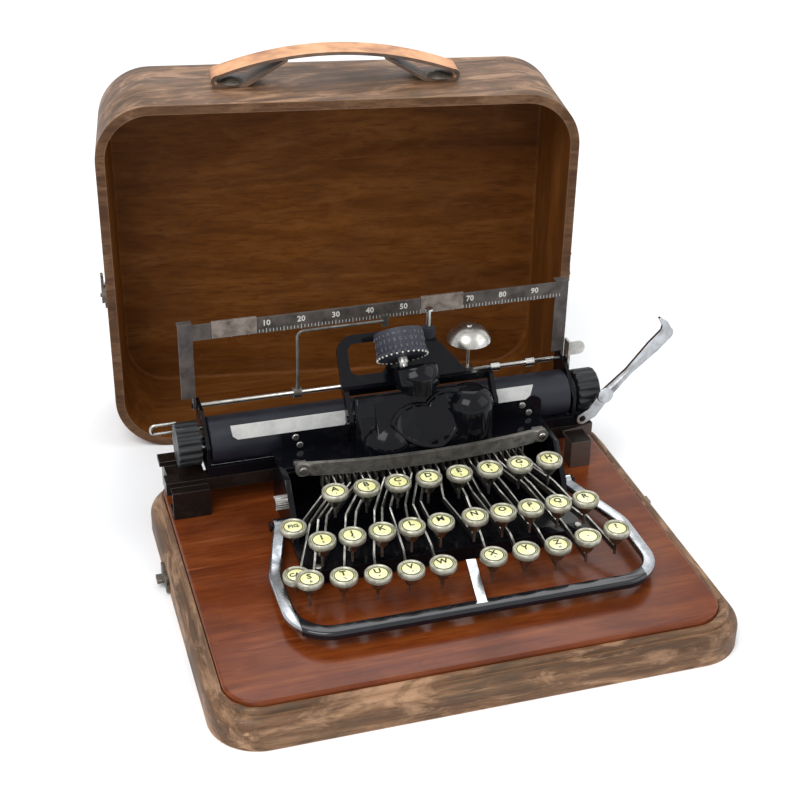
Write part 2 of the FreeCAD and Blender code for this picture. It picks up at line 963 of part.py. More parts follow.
def bar_path():
    points = [Vector(bar_left_root, bar_hinge_back, bar_level),
              Vector(bar_left, bar_bend_back, bar_level),
              Vector(bar_left, bar_front, bar_level),
              Vector(bar_right, bar_front, bar_level),
              Vector(bar_right, bar_bend_back, bar_level),
              Vector(bar_right_root, bar_hinge_back, bar_level)]
    return smooth_path(points, (bar_bend_round, bar_corner, bar_corner, bar_bend_round))


def swept_bar(width, height, corner):
    path = bar_path()
    section = rounded_section(width, height, corner, path.Vertexes[0].Point)
    return path.makePipeShell([section], True, False)


def space_bar():
    bar = swept_bar(bar_width, bar_height, bar_round)
    pieces = [bar]
    for x in (bar_left_root, bar_right_root):
        pieces.append(rod_x(bar_boss_radius, x - bar_boss_half, x + bar_boss_half,
                            bar_hinge_back, bar_level))
    low = Vector(bar_arm_x, bar_front, bar_level + bar_arm_thickness / 4)
    high = Vector(bar_arm_back_x, bar_arm_back, bar_arm_top)
    arm = bar_between(low, high, bar_arm_thickness, bar_arm_width)
    pieces.append(arm)
    whole = fuse_all(pieces)
    for x in (bar_left_root, bar_right_root):
        reach = bar_boss_half + bar_width
        whole = whole.cut(rod_x(bar_pin_radius + pivot_clearance, x - reach, x + reach,
                                bar_hinge_back, bar_level))
    return whole


def space_bar_grip():
    # Black sleeve over the front of the bar
    wall = 2 * bar_grip_wall
    sleeve = swept_bar(bar_width + wall, bar_height + wall, bar_round + bar_grip_wall)
    grip_back = bar_front + bar_corner
    front = box(bar_grip_left, bar_grip_right, bar_front - bar_width, grip_back,
                bar_level - bar_height, bar_level + bar_height)
    sleeve = sleeve.common(front).cut(swept_bar(bar_width, bar_height, bar_round))
    half = bar_arm_width / 2 + 1
    slot = box(bar_arm_x - half, bar_arm_x + half, bar_front, grip_back,
               bar_level - bar_arm_thickness, bar_level + bar_height)
    return sleeve.cut(slot)


# Fixed way of the carriage

def carriage_way():
    under = way_top - way_thickness
    shelf = under - shelf_thickness
    left = stand_left_x + stand_left_width
    pieces = []
    for front in (way_front, way_rear):
        pieces.append(box(way_left, way_right, front, front + way_depth, under, way_top))
    pieces.append(box(way_left, way_right, way_front, way_front + way_lip_depth, under - way_lip, under))
    rear = way_rear + way_depth
    pieces.append(box(stand_left_x, left, stand_front, rear, shelf, under))
    pieces.append(box(stand_left_x, left, stand_front, stand_front + stand_thickness, panel_top, under))
    pieces.append(box(stand_left_x, left, stand_front, stand_front + stand_foot, panel_top,
                      panel_top + stand_thickness))
    pieces.append(box(post_x, post_x + post_width, post_front, rear, shelf, under))
    pieces.append(box(post_x, post_x + post_width, post_front, post_front + post_depth, panel_top, under))
    for x in (stand_left_x, post_x):
        pieces.append(box(x, x + post_width, rear - post_depth, rear, panel_top, shelf))
    for x in way_lug_places:
        pieces.append(box(x - way_lug / 2, x + way_lug / 2, frame_back, way_front, under - way_lip, under))
    return fuse_all(pieces)


# Carriage

def end_plate(x):
    low = way_top + carriage_gap
    outline = [Vector(x, end_front, low), Vector(x, end_back, low), Vector(x, end_back, end_top),
               Vector(x, end_slope_back, end_top), Vector(x, end_front, end_slope_level)]
    plate = polygon_plate(outline, Vector(end_thickness, 0, 0))
    return plate.cut(rod_x(platen_shaft + pivot_clearance, x - 1, x + end_thickness + 1,
                           platen_back, platen_level))


def carriage_frame():
    low = way_top + carriage_gap
    left = end_left
    right = end_right + end_thickness
    pieces = [end_plate(end_left), end_plate(end_right)]
    pieces.append(box(left, right, end_front, end_front + front_rail_depth, low, low + front_rail_height))
    pieces.append(box(left, right, end_back - back_bar_depth, end_back, low, low + back_bar_height))
    pivot = space_lever_pivot()
    half = space_lever_root_width / 2
    pieces.append(box(end_right, pivot.x + half, end_front, end_front + bracket_plate, low, pivot.z + half))
    pin_length = space_lever_gap + space_lever_thickness
    pieces.append(cylinder(space_lever_pin, pin_length + end_front - way_front,
                           Vector(pivot.x, end_front, pivot.z), Vector(0, -1, 0)))
    for x in (end_left - scale_pin_reach, right):
        pieces.append(rod_x(scale_pin_radius, x, x + scale_pin_reach, rod_back, rod_level))
    pieces.append(rod_x(release_pin_radius, right, right + scale_pin_reach, release_back, release_level))
    return fuse_all(pieces)


def carriage_rods():
    # Rear rod with its margin stops, and the wire loop at the left end
    rod = rod_x(rod_radius, end_left + end_thickness, end_right, rod_back, rod_level)
    stops = [rod_x(stop_radius, x, x + stop_length, rod_back, rod_level) for x in stop_places]
    bend = (loop_high - loop_low) / 2
    loop = wire_rod([Vector(end_left, loop_back, loop_low),
                     Vector(end_left - loop_reach, loop_back, loop_low),
                     Vector(end_left - loop_reach, loop_back, loop_high),
                     Vector(end_left - loop_return, loop_back, loop_high)], bend * 0.9, wire_radius)
    return Part.makeCompound([fuse_all([rod] + stops), loop])


def platen_roller():
    left = end_left + end_thickness + platen_gap
    right = end_right - platen_gap
    roller = rod_x(platen_radius, left, right, platen_back, platen_level)
    roller = roller.makeChamfer(0.8, [e for e in roller.Edges if isinstance(e.Curve, Part.Circle)])
    shaft = rod_x(platen_shaft, end_left - knob_gap, end_right + end_thickness + ratchet_room,
                  platen_back, platen_level)
    return roller.fuse(shaft).removeSplitter()


def fluted_knob(x):
    knob = rod_x(knob_radius, x, x + knob_length, platen_back, platen_level)
    rims = [e for e in knob.Edges if isinstance(e.Curve, Part.Circle)]
    knob = knob.makeFillet(knob_round, rims)
    flutes = []
    for i in range(knob_flutes):
        angle = 2 * math.pi * i / knob_flutes
        reach = knob_radius + knob_flute_radius - knob_flute_depth
        flutes.append(rod_x(knob_flute_radius, x - 1, x + knob_length + 1,
                            platen_back + reach * math.cos(angle), platen_level + reach * math.sin(angle)))
    return knob.cut(flutes)


def ratchet_wheel(x):
    points = []
    for i in range(ratchet_teeth):
        for turn, radius in ((0.0, ratchet_radius), (0.3, ratchet_radius - ratchet_tooth)):
            angle = 2 * math.pi * (i + turn) / ratchet_teeth
            points.append(Vector(x, platen_back + radius * math.cos(angle),
                                 platen_level + radius * math.sin(angle)))
    return polygon_plate(points, Vector(ratchet_thickness, 0, 0))


def platen_knobs():
    right_face = end_right + end_thickness
    left = fluted_knob(end_left - knob_gap - knob_length)
    right = fluted_knob(right_face + ratchet_room)
    ratchet = ratchet_wheel(right_face + ratchet_gap)
    ratchet = ratchet.cut(rod_x(platen_shaft, right_face - 1, right_face + ratchet_room,
                                platen_back, platen_level))
    return Part.makeCompound([left, right, ratchet])


def tapered_bar(start, end, start_width, end_width, front, thickness):
    # Flat bar in an upright plane that faces forward
    run = Vector(end.x - start.x, 0, end.z - start.z).normalize()
    side = Vector(-run.z, 0, run.x)
    corners = [start - side * (start_width / 2), end - side * (end_width / 2),
               end + side * (end_width / 2), start + side * (start_width / 2)]
    corners = [Vector(c.x, front, c.z) for c in corners]
    return polygon_plate(corners, Vector(0, thickness, 0))


def disc_y(radius, centre, front, thickness):
    return cylinder(radius, thickness, Vector(centre.x, front, centre.z), Vector(0, 1, 0))


def space_lever_pivot():
    return Vector(space_lever_pivot_x, 0, space_lever_pivot_level)


def line_space_lever():
    front = end_front - space_lever_gap - space_lever_thickness
    root = space_lever_pivot()
    elbow = Vector(space_lever_elbow_x, 0, space_lever_elbow_level)
    knee = Vector(space_lever_knee_x, 0, space_lever_knee_level)
    tip = Vector(space_lever_tip_x, 0, space_lever_tip_level)
    waist = knee + (tip - knee) * space_lever_waist_share
    paddle = knee + (tip - knee) * space_lever_paddle_share
    hook = Vector(space_lever_hook_x, 0, space_lever_hook_level)
    point = Vector(space_lever_point_x, 0, space_lever_point_level)
    stations = [(root, space_lever_root_width), (elbow, space_lever_root_width),
                (knee, space_lever_knee_width), (waist, space_lever_waist_width),
                (paddle, space_lever_tip_width), (tip, space_lever_tip_width),
                (hook, space_lever_hook_width), (point, space_lever_point_width)]
    pieces = []
    for (start, start_width), (end, end_width) in zip(stations, stations[1:]):
        pieces.append(tapered_bar(start, end, start_width, end_width, front, space_lever_thickness))
        pieces.append(disc_y(start_width / 2, start, front, space_lever_thickness))
    whole = fuse_all(pieces)
    screw = screw_head(Vector(knee.x, front, knee.z), Vector(0, -1, 0), space_lever_screw,
                       space_lever_screw_height)
    hole = disc_y(space_lever_pin + pivot_clearance, root, front - 1, 2 * space_lever_thickness)
    return whole.fuse(screw).cut(hole)


def scale_arm_places():
    return (end_left - carriage_gap - scale_arm_thickness,
            end_right + end_thickness + carriage_gap)


def scale_bar():
    pieces = []
    arms = scale_arm_places()
    low = scale_level - scale_height / 2
    top = scale_level + scale_height / 2
    half = scale_arm_width / 2
    front = rod_back - half
    for x in arms:
        pieces.append(box(x, x + scale_arm_thickness, front, rod_back + half, rod_level, top))
        pieces.append(rod_x(half, x, x + scale_arm_thickness, rod_back, rod_level))
    left = arms[0]
    right = arms[1] + scale_arm_thickness
    for x in (left - scale_face_width + scale_arm_thickness, right - scale_face_width):
        pieces.append(box(x, x + scale_face_width, front, front + scale_thickness, scale_arm_foot, top))
        pieces.append(box(x, x + scale_face_width, front, rod_back + half, top, top + scale_cap))
    pieces.append(box(left, right, front, front + scale_thickness, low, top))
    for x in (scale_clamp_left, scale_clamp_right):
        pieces.append(box(x, x + scale_clamp, front - scale_clamp_proud, front + scale_thickness,
                          low + scale_clamp_proud, top + scale_cap))
    whole = fuse_all(pieces)
    for x in arms:
        whole = whole.cut(rod_x(scale_pin_radius + pivot_clearance, x - 1, x + scale_arm_thickness + 1,
                                rod_back, rod_level))
    return whole


def paper_wire():
    front = rod_back - wire_lean
    points = [Vector(wire_left, rod_back, rod_level), Vector(wire_left, front, rod_level + wire_straight),
              Vector(wire_left, front, wire_top), Vector(wire_right, front, wire_top)]
    wire = wire_rod(points, wire_bend, wire_radius)
    eye = rod_x(wire_eye_radius, wire_left - wire_eye_half, wire_left + wire_eye_half, rod_back, rod_level)
    tip = box(wire_right - wire_radius, wire_right - wire_radius + wire_tip_width, front - wire_radius / 2,
              front + wire_radius / 2, wire_top - wire_tip_height / 2, wire_top + wire_tip_height / 2)
    hole = rod_x(rod_radius + pivot_clearance, wire_left - 2 * wire_eye_half, wire_left + 2 * wire_eye_half,
                 rod_back, rod_level)
    return fuse_all([wire, eye, tip]).cut(hole)


def release_lever():
    x = end_right + end_thickness + carriage_gap
    half = release_width / 2
    top = release_level + release_reach
    arm = box(x, x + release_thickness, release_back - half, release_back + half, release_level, top)
    root = rod_x(half, x, x + release_thickness, release_back, release_level)
    tab = box(x, x + release_tab, release_back - half, release_back - half + release_thickness,
              top - release_tab_height, top)
    corners = [e for e in tab.Edges if e.Length < release_thickness + 0.1 and e.CenterOfMass.x > x + half]
    tab = tab.makeFillet(release_tab_round, corners)
    whole = fuse_all([arm, root, tab])
    return whole.cut(rod_x(release_pin_radius + pivot_clearance, x - 1, x + release_thickness + 1,
                           release_back, release_level))


def spun(points):
    # Solid turned about the vertical line x = 0, y = 0 from an outline of (radius, level) arcs
    edges = [Part.Arc(*(Vector(radius, 0, level) for radius, level in three)).toShape() for three in points]
    ends = [edge.Vertexes[-1].Point for edge in edges]
    starts = [edge.Vertexes[0].Point for edge in edges]
    joined = []
    for i, edge in enumerate(edges):
        joined.append(edge)
        joined.append(Part.LineSegment(ends[i], starts[(i + 1) % len(edges)]).toShape())
    return Part.Face(Part.Wire(joined)).revolve(Vector(0, 0, 0), Vector(0, 0, 1), 360)


def bell():
    inner = bell_radius - bell_wall
    crown = bell_height - bell_wall
    shoulder = math.sqrt(0.5)
    shell = spun([((bell_radius, 0), (bell_radius * shoulder, bell_height * shoulder), (0, bell_height)),
                  ((0, crown), (inner * shoulder, crown * shoulder), (inner, 0))])
    shell.translate(Vector(bell_x, rod_back, bell_level))
    foot = rod_level + rod_radius + pivot_clearance
    post = cylinder(bell_wire, bell_level + bell_height - foot, Vector(bell_x, rod_back, foot),
                    Vector(0, 0, 1))
    nut = cylinder(bell_nut_radius, bell_nut_height,
                   Vector(bell_x, rod_back, bell_level + bell_height - bell_wall / 4), Vector(0, 0, 1))
    half = bell_clamp / 2
    clamp = box(bell_x - half, bell_x + half, rod_back - half, rod_back + half, rod_level - half,
                rod_level + half)
    clamp = clamp.cut(rod_x(rod_radius + pivot_clearance, bell_x - bell_clamp, bell_x + bell_clamp,
                            rod_back, rod_level))
    return fuse_all([shell, post, nut, clamp])


# Printing head

def side_block(outline, x0, x1):
    # Block from an outline of (back, level) pairs
    points = [Vector(x0, y, z) for y, z in outline]
    return polygon_plate(points, Vector(x1 - x0, 0, 0))


def head_casing():
    low = side_top
    crest = swing_back - hub_round
    middle = side_block([(head_front + 2, low), (head_back, low), (head_back, head_rear_top),
                         (swing_back, head_top), (crest, head_top), (head_front, low + head_nose),
                         (head_front, low + head_nose / 2)], head_middle_left, head_middle_right)
    left_box = side_block([(box_front, low), (head_back, low), (head_back, head_rear_top),
                           (swing_back + 2, box_top), (swing_back - 2, box_top), (box_front, box_shoulder)],
                          head_left, head_middle_left + head_wall)
    outer = [e for e in left_box.Edges if all(v.X < head_left + 0.1 and v.Z > low for v in e.Vertexes)]
    left_box = left_box.makeFillet(box_round, outer)
    dome = Part.makeSphere(dome_radius, Vector(dome_x, dome_back, dome_level))
    dome = dome.common(box(head_left - dome_radius, head_middle_right, dome_back - 2 * dome_radius,
                           head_back, low, head_top))
    barrel = cylinder(barrel_radius, barrel_top - low, Vector(barrel_x, barrel_back, low), Vector(0, 0, 1))
    crown = [e for e in barrel.Edges if isinstance(e.Curve, Part.Circle) and e.CenterOfMass.z > low + 1]
    barrel = barrel.makeFillet(barrel_round, crown)
    room = 2 * barrel_radius
    barrel = barrel.common(box(barrel_x - room, barrel_x + room, barrel_back - room, head_back,
                               low - 1, barrel_top + 1))
    right_box = side_block([(box_front, low), (head_back, low), (head_back, head_rear_top),
                            (swing_back, right_box_top), (swing_back - 2, right_box_top),
                            (box_front, right_box_shoulder)], head_middle_right - head_wall, head_right)
    whole = fuse_all([middle, left_box, dome, barrel, right_box])
    pins = [rod_x(swing_pin, head_left - swing_pin_reach, head_left + 1, swing_back, swing_level),
            rod_x(swing_pin, head_right - 1, head_right + swing_pin_reach, swing_back, swing_level)]
    return fuse_all([whole] + pins)


def gauge_brackets():
    plates = []
    for outer, inner, side in ((bracket_left_outer, head_left, 1), (bracket_right_outer, head_right, -1)):
        top = bracket_bottom + bracket_height
        span = side * (inner - outer) - 1
        plate = box(0, span, frame_back, frame_back + bracket_thickness, bracket_bottom, top)
        edges = [e for e in plate.Edges if e.Length < bracket_thickness + 0.1]
        plate = plate.makeFillet(bracket_inner, edges)
        plate.translate(Vector(min(outer, outer + side * span), 0, 0))
        plates.append(plate)
    return plates


def arc_edge(*places):
    return Part.Arc(*(Vector(x, 0, z) for x, z in places)).toShape()


def heart_outline(inset):
    # Heart standing on its tip, drawn inside the shield's edge by the inset
    half = shield_width / 2 - inset
    tip = inset * shield_tip_rim
    notch = shield_height - shield_notch - inset
    shoulder = shield_height - 2 * shield_notch - inset / 2
    high = shield_height - inset
    middle = tip + shield_waist_share * (shoulder - tip)
    waist = half * shield_waist
    return Part.Wire([arc_edge((0, notch), (-half / 2, high), (-half, shoulder)),
                      arc_edge((-half, shoulder), (-waist, middle), (0, tip)),
                      arc_edge((0, tip), (waist, middle), (half, shoulder)),
                      arc_edge((half, shoulder), (half / 2, high), (0, notch))])


def head_shield():
    # Heart-shaped cover with a raised rim and a crowned middle, turned and leaned back on its tip
    plate = Part.Face(heart_outline(0)).extrude(Vector(0, -shield_thickness, 0))
    front = [e for e in plate.Edges if all(v.Y < -shield_thickness + 0.01 for v in e.Vertexes)]
    plate = plate.makeChamfer(shield_bevel, front)
    floor = shield_thickness - shield_sink
    inside = Part.Face(heart_outline(shield_rim))
    pocket = inside.extrude(Vector(0, -2 * shield_thickness, 0))
    pocket.translate(Vector(0, -floor, 0))
    crown = Vector(0, shield_ball - floor - shield_crown, shield_height * shield_crown_share)
    ball = Part.makeSphere(shield_ball, crown)
    bulge = pocket.copy().common(ball)
    whole = plate.cut(pocket).fuse(bulge).removeSplitter()
    whole.rotate(Vector(0, 0, 0), Vector(0, 1, 0), shield_turn)
    whole.rotate(Vector(0, 0, 0), Vector(1, 0, 0), -shield_lean)
    whole.translate(shield_tip)
    return whole


def leaned(lean):
    angle = math.radians(lean)
    return Vector(0, math.sin(angle), math.cos(angle))


def type_wheel():
    axis = leaned(wheel_lean)
    body = cylinder(wheel_radius, wheel_length, wheel_foot, axis)
    rim = cylinder(wheel_rim, wheel_rim_height, wheel_foot, axis)
    bore = cylinder(wheel_bore + pivot_clearance, 2 * wheel_length, wheel_foot - axis * spindle_reach, axis)
    across = Vector(1, 0, 0)
    upward = axis.cross(across)
    notches = []
    for i in range(wheel_notches):
        angle = 2 * math.pi * i / wheel_notches
        out = across * math.cos(angle) + upward * math.sin(angle)
        place = wheel_foot + out * wheel_rim - axis
        notches.append(cylinder(wheel_notch, wheel_rim_height + 2, place, axis))
    return fuse_all([body, rim]).cut([bore] + notches)


def swing_plate():
    # Loop that carries the wheel, drawn upright and then leaned back about its foot
    left, right, top = plate_left, plate_right, plate_height
    shelf = plate_shelf_height
    outline = [Vector(left, 0, 0), Vector(right, 0, 0), Vector(plate_shelf_right, 0, shelf),
               Vector(plate_shelf_left, 0, shelf), Vector(plate_crest, 0, top), Vector(left, 0, top)]
    plate = polygon_plate(outline, Vector(0, plate_thickness, 0))
    corner = [e for e in plate.Edges if e.CenterOfMass.z > top - 0.1 and e.Length < plate_thickness + 0.1
              and e.CenterOfMass.x < 0]
    plate = plate.makeFillet(plate_corner, corner)
    window = box(window_left, window_right, -1, plate_thickness + 1, window_bottom, top - window_rail)
    upright = [e for e in window.Edges if abs(e.Vertexes[0].Y - e.Vertexes[-1].Y) > 1]
    plate = plate.cut(window.makeFillet(window_corner, upright))
    plate.rotate(Vector(0, 0, 0), Vector(1, 0, 0), -plate_lean)
    plate.translate(Vector(0, plate_foot_back, plate_foot_level))
    return plate


def swing_lug(x):
    # Side arm from the swing pin up to the foot of the loop
    radius = lug_radius
    arm = side_block([(swing_back - radius, swing_level), (swing_back + radius, swing_level),
                      (plate_foot_back + foot_bar_depth, plate_foot_level + radius),
                      (plate_foot_back - radius, plate_foot_level + radius)], x, x + lug_thickness)
    eye = rod_x(radius, x, x + lug_thickness, swing_back, swing_level)
    hole = rod_x(swing_pin + pivot_clearance, x - 1, x + lug_thickness + 1, swing_back, swing_level)
    return fuse_all([arm, eye]).cut(hole)


def swing_frame():
    axis = leaned(wheel_lean)
    hub = cylinder(hub_radius, hub_height, hub_foot, leaned(hub_lean))
    hub = hub.makeFillet(hub_soft, [e for e in hub.Edges if isinstance(e.Curve, Part.Circle)])
    skirt = cylinder(hub_skirt, hub_skirt_height, hub_foot, Vector(0, 0, 1))
    end = wheel_foot - axis * (spindle_nut + wheel_gap)
    spindle = cylinder(wheel_bore, wheel_length + spindle_nut + spindle_reach, end, axis)
    nut = cylinder(spindle_nut_radius, spindle_nut, end, axis)
    strut_foot = Vector(wheel_foot.x, hub_foot.y, hub_foot.z + hub_height / 2)
    strut_top = end + axis * (spindle_nut / 2)
    strut = cylinder(strut_radius, strut_top.sub(strut_foot).Length, strut_foot, strut_top.sub(strut_foot))
    foot_bar = box(plate_left, lug_right, plate_foot_back - foot_bar_depth, plate_foot_back + foot_bar_depth,
                   plate_foot_level, plate_foot_level + lug_radius)
    seat = box(ink_foot.x - ink_roller_radius, ink_foot.x + ink_roller_radius, ink_foot.y - ink_seat,
               ink_foot.y + ink_seat, ink_foot.z - ink_seat, ink_foot.z)
    post = cylinder(ink_post_radius, ink_post_height, ink_foot, Vector(0, 0, 1))
    cap = cylinder(ink_cap_radius, ink_cap_height, ink_foot + Vector(0, 0, ink_post_height), Vector(0, 0, 1))
    pieces = [hub, skirt, spindle, nut, strut, foot_bar, swing_plate(), seat, post, cap]
    pieces += [swing_lug(lug_left), swing_lug(lug_right)]
    return fuse_all(pieces)


def ink_roller():
    foot = ink_foot + Vector(0, 0, carriage_gap)
    roller = cylinder(ink_roller_radius, ink_roller_length, foot, Vector(0, 0, 1))
    flange = cylinder(ink_flange_radius, ink_flange, foot + Vector(0, 0, ink_roller_length), Vector(0, 0, 1))
    bore = cylinder(ink_post_radius + pivot_clearance, ink_post_height, foot - Vector(0, 0, 1),
                    Vector(0, 0, 1))
    return roller.fuse(flange).cut(bore)


def line_gauges():
    strips = []
    y = frame_back - gauge_thickness
    ends = ((gauge_left_outer, gauge_left_inner, 1), (gauge_right_outer, gauge_right_inner, -1))
    for outer, inner, side in ends:
        top = gauge_bottom + gauge_height
        outline = [Vector(outer, y, top), Vector(outer + side * 1.5, y, gauge_bottom + 3),
                   Vector(outer + side * 5, y, gauge_bottom), Vector(inner, y, gauge_bottom),
                   Vector(inner + side * 3, y, gauge_bottom + gauge_height / 2), Vector(inner, y, top)]
        strips.append(polygon_plate(outline, Vector(0, gauge_thickness, 0)))
    return Part.makeCompound(strips)


def thumb_screw():
    start = Vector(frame_left - thumb_length, thumb_back, thumb_level)
    head = cylinder(thumb_radius, thumb_length, start, Vector(1, 0, 0))
    flutes = []
    for i in range(thumb_flutes):
        angle = 2 * math.pi * i / thumb_flutes
        flutes.append(rod_x(thumb_flute, start.x, frame_left, thumb_back + thumb_radius * math.cos(angle),
                            thumb_level + thumb_radius * math.sin(angle)))
    return head.cut(flutes)


def frame_screws():
    forward = Vector(0, -1, 0)
    screws = [thumb_screw()]
    for x in (guide_left, guide_right):
        place = Vector(x, guide_end_back - guide_ear_proud, guide_bottom + guide_height / 2)
        screws.append(screw_head(place, forward))
    rows = ((bracket_left_outer, 1, bracket_screws_left), (bracket_right_outer, -1, bracket_screws_right))
    for outer, side, places in rows:
        for shift, level in places:
            screws.append(screw_head(Vector(outer + side * shift, frame_back, bracket_bottom + level), forward))
    for x in (frame_left + crossbar_width, frame_right - crossbar_width):
        place = Vector(x, frame_front + crossbar_width / 2, panel_top + crossbar_height)
        screws.append(screw_head(place, Vector(0, 0, 1)))
    return Part.makeCompound(screws)


def export(name, shape):
    shape.exportStep("parts/" + name + ".step")
    print(name, len(shape.Solids), round(shape.Volume / 1000, 2), shape.isValid())


def build():
    os.makedirs("parts", exist_ok=True)
    export("base_plinth", base_plinth())
    export("base_panel", base_panel())
    export("base_catches", base_catches())
    export("lid_band", lid_band())
    export("lid_panel", lid_panel())
    export("lid_handle", lid_handle())
    export("lid_fittings", lid_fittings())
    export("latch_left", latch(-1))
    export("latch_right", latch(1))
    keys, paths = lever_paths()
    for name, place in keys.items():
        export(name, key_with_lever(place, paths[name]))
    export("main_frame", main_frame())
    export("fulcrum_rod", fulcrum_rod())
    export("lever_guide", lever_guide())
    export("space_bar", space_bar())
    export("space_bar_grip", space_bar_grip())
    export("carriage_way", carriage_way())
    export("carriage_frame", carriage_frame())
    export("carriage_rods", carriage_rods())
    export("platen_roller", platen_roller())
    export("platen_knobs", platen_knobs())
    export("line_space_lever", line_space_lever())
    export("scale_bar", scale_bar())
    export("paper_wire", paper_wire())
    export("release_lever", release_lever())
    export("bell", bell())
    casing = head_casing()
    shield = max(head_shield().cut(casing).Solids, key=lambda solid: solid.Volume)
    export("head_casing", Part.makeCompound([casing, shield] + gauge_brackets()))
    export("type_wheel", type_wheel())
    export("swing_frame", swing_frame())
    export("ink_roller", ink_roller())
    export("line_gauges", line_gauges())
    export("frame_screws", frame_screws())


build()
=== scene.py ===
import bmesh
import bpy
import json
import math
from mathutils import Matrix, Vector


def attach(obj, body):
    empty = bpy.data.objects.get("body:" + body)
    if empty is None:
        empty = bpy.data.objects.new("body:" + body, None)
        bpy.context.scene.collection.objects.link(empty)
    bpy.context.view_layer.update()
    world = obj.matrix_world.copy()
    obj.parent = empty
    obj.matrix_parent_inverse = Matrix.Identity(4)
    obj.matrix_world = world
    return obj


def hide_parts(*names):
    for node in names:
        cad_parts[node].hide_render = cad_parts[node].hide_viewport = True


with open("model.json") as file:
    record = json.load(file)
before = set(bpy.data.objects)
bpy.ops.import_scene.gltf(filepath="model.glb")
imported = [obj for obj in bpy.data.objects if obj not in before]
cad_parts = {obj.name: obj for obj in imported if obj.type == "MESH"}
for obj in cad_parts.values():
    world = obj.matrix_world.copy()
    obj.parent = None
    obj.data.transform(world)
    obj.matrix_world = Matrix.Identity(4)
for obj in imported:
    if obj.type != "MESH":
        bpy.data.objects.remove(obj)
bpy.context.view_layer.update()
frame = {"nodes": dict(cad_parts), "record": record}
cad = frame["nodes"]
bodyOf = {node: body for body, group in frame["record"]["behaviour"]["bodies"].items() for node in group}
print("frame loaded", len(cad), "nodes")


# node helpers for the finishes

def startFinish(name):
    material = bpy.data.materials.new(name)
    material.use_nodes = True
    tree = material.node_tree
    coords = tree.nodes.new("ShaderNodeTexCoord")
    return material, tree, tree.nodes["Principled BSDF"], coords.outputs["Object"]


def feed(tree, socket, value):
    if isinstance(value, bpy.types.NodeSocket):
        tree.links.new(value, socket)
    elif isinstance(value, (tuple, list)) and socket.type == "RGBA" and len(value) == 3:
        socket.default_value = (*value, 1)
    else:
        socket.default_value = value


def turnedCoords(tree, coords, stretch=(1, 1, 1), turn=(0, 0, 0), place=(0, 0, 0)):
    node = tree.nodes.new("ShaderNodeMapping")
    node.inputs["Scale"].default_value = stretch
    node.inputs["Rotation"].default_value = [math.radians(angle) for angle in turn]
    node.inputs["Location"].default_value = place
    tree.links.new(coords, node.inputs["Vector"])
    return node.outputs["Vector"]


def noiseOn(tree, coords, scale, detail=4.0, roughness=0.55, bend=0.0):
    node = tree.nodes.new("ShaderNodeTexNoise")
    node.inputs["Scale"].default_value = scale
    node.inputs["Detail"].default_value = detail
    node.inputs["Roughness"].default_value = roughness
    node.inputs["Distortion"].default_value = bend
    tree.links.new(coords, node.inputs["Vector"])
    return node.outputs["Fac"]


def rampOn(tree, value, stops):
    node = tree.nodes.new("ShaderNodeValToRGB")
    ramp = node.color_ramp
    while len(ramp.elements) < len(stops):
        ramp.elements.new(0.5)
    for element, (place, colour) in zip(ramp.elements, stops):
        element.position = place
        element.color = (*colour, 1) if isinstance(colour, tuple) else (colour, colour, colour, 1)
    tree.links.new(value, node.inputs["Fac"])
    return node.outputs["Color"]


def mixOn(tree, share, first, second, mode="MIX"):
    node = tree.nodes.new("ShaderNodeMix")
    node.data_type = "RGBA"
    node.blend_type = mode
    feed(tree, node.inputs[0], share)
    feed(tree, node.inputs[6], first)
    feed(tree, node.inputs[7], second)
    return node.outputs[2]


def rangeOn(tree, value, low, high, newLow, newHigh):
    node = tree.nodes.new("ShaderNodeMapRange")
    for label, number in (("From Min", low), ("From Max", high), ("To Min", newLow), ("To Max", newHigh)):
        node.inputs[label].default_value = number
    tree.links.new(value, node.inputs["Value"])
    return node.outputs["Result"]


def bumpOn(tree, shader, height, distance, strength=1.0):
    node = tree.nodes.new("ShaderNodeBump")
    node.inputs["Distance"].default_value = distance
    node.inputs["Strength"].default_value = strength
    tree.links.new(height, node.inputs["Height"])
    tree.links.new(node.outputs["Normal"], shader.inputs["Normal"])


edgeLook = {"samples": 4, "flat": 0.985, "round": 0.85}


def edgeWear(tree, reach, share):
    # share near an edge, where the rounded normal leaves the true one
    rounded = tree.nodes.new("ShaderNodeBevel")
    rounded.samples = edgeLook["samples"]
    rounded.inputs["Radius"].default_value = reach
    surface = tree.nodes.new("ShaderNodeNewGeometry")
    compare = tree.nodes.new("ShaderNodeVectorMath")
    compare.operation = "DOT_PRODUCT"
    tree.links.new(rounded.outputs["Normal"], compare.inputs[0])
    tree.links.new(surface.outputs["Normal"], compare.inputs[1])
    return rangeOn(tree, compare.outputs["Value"], edgeLook["flat"], edgeLook["round"], 0.0, share)


# finishes

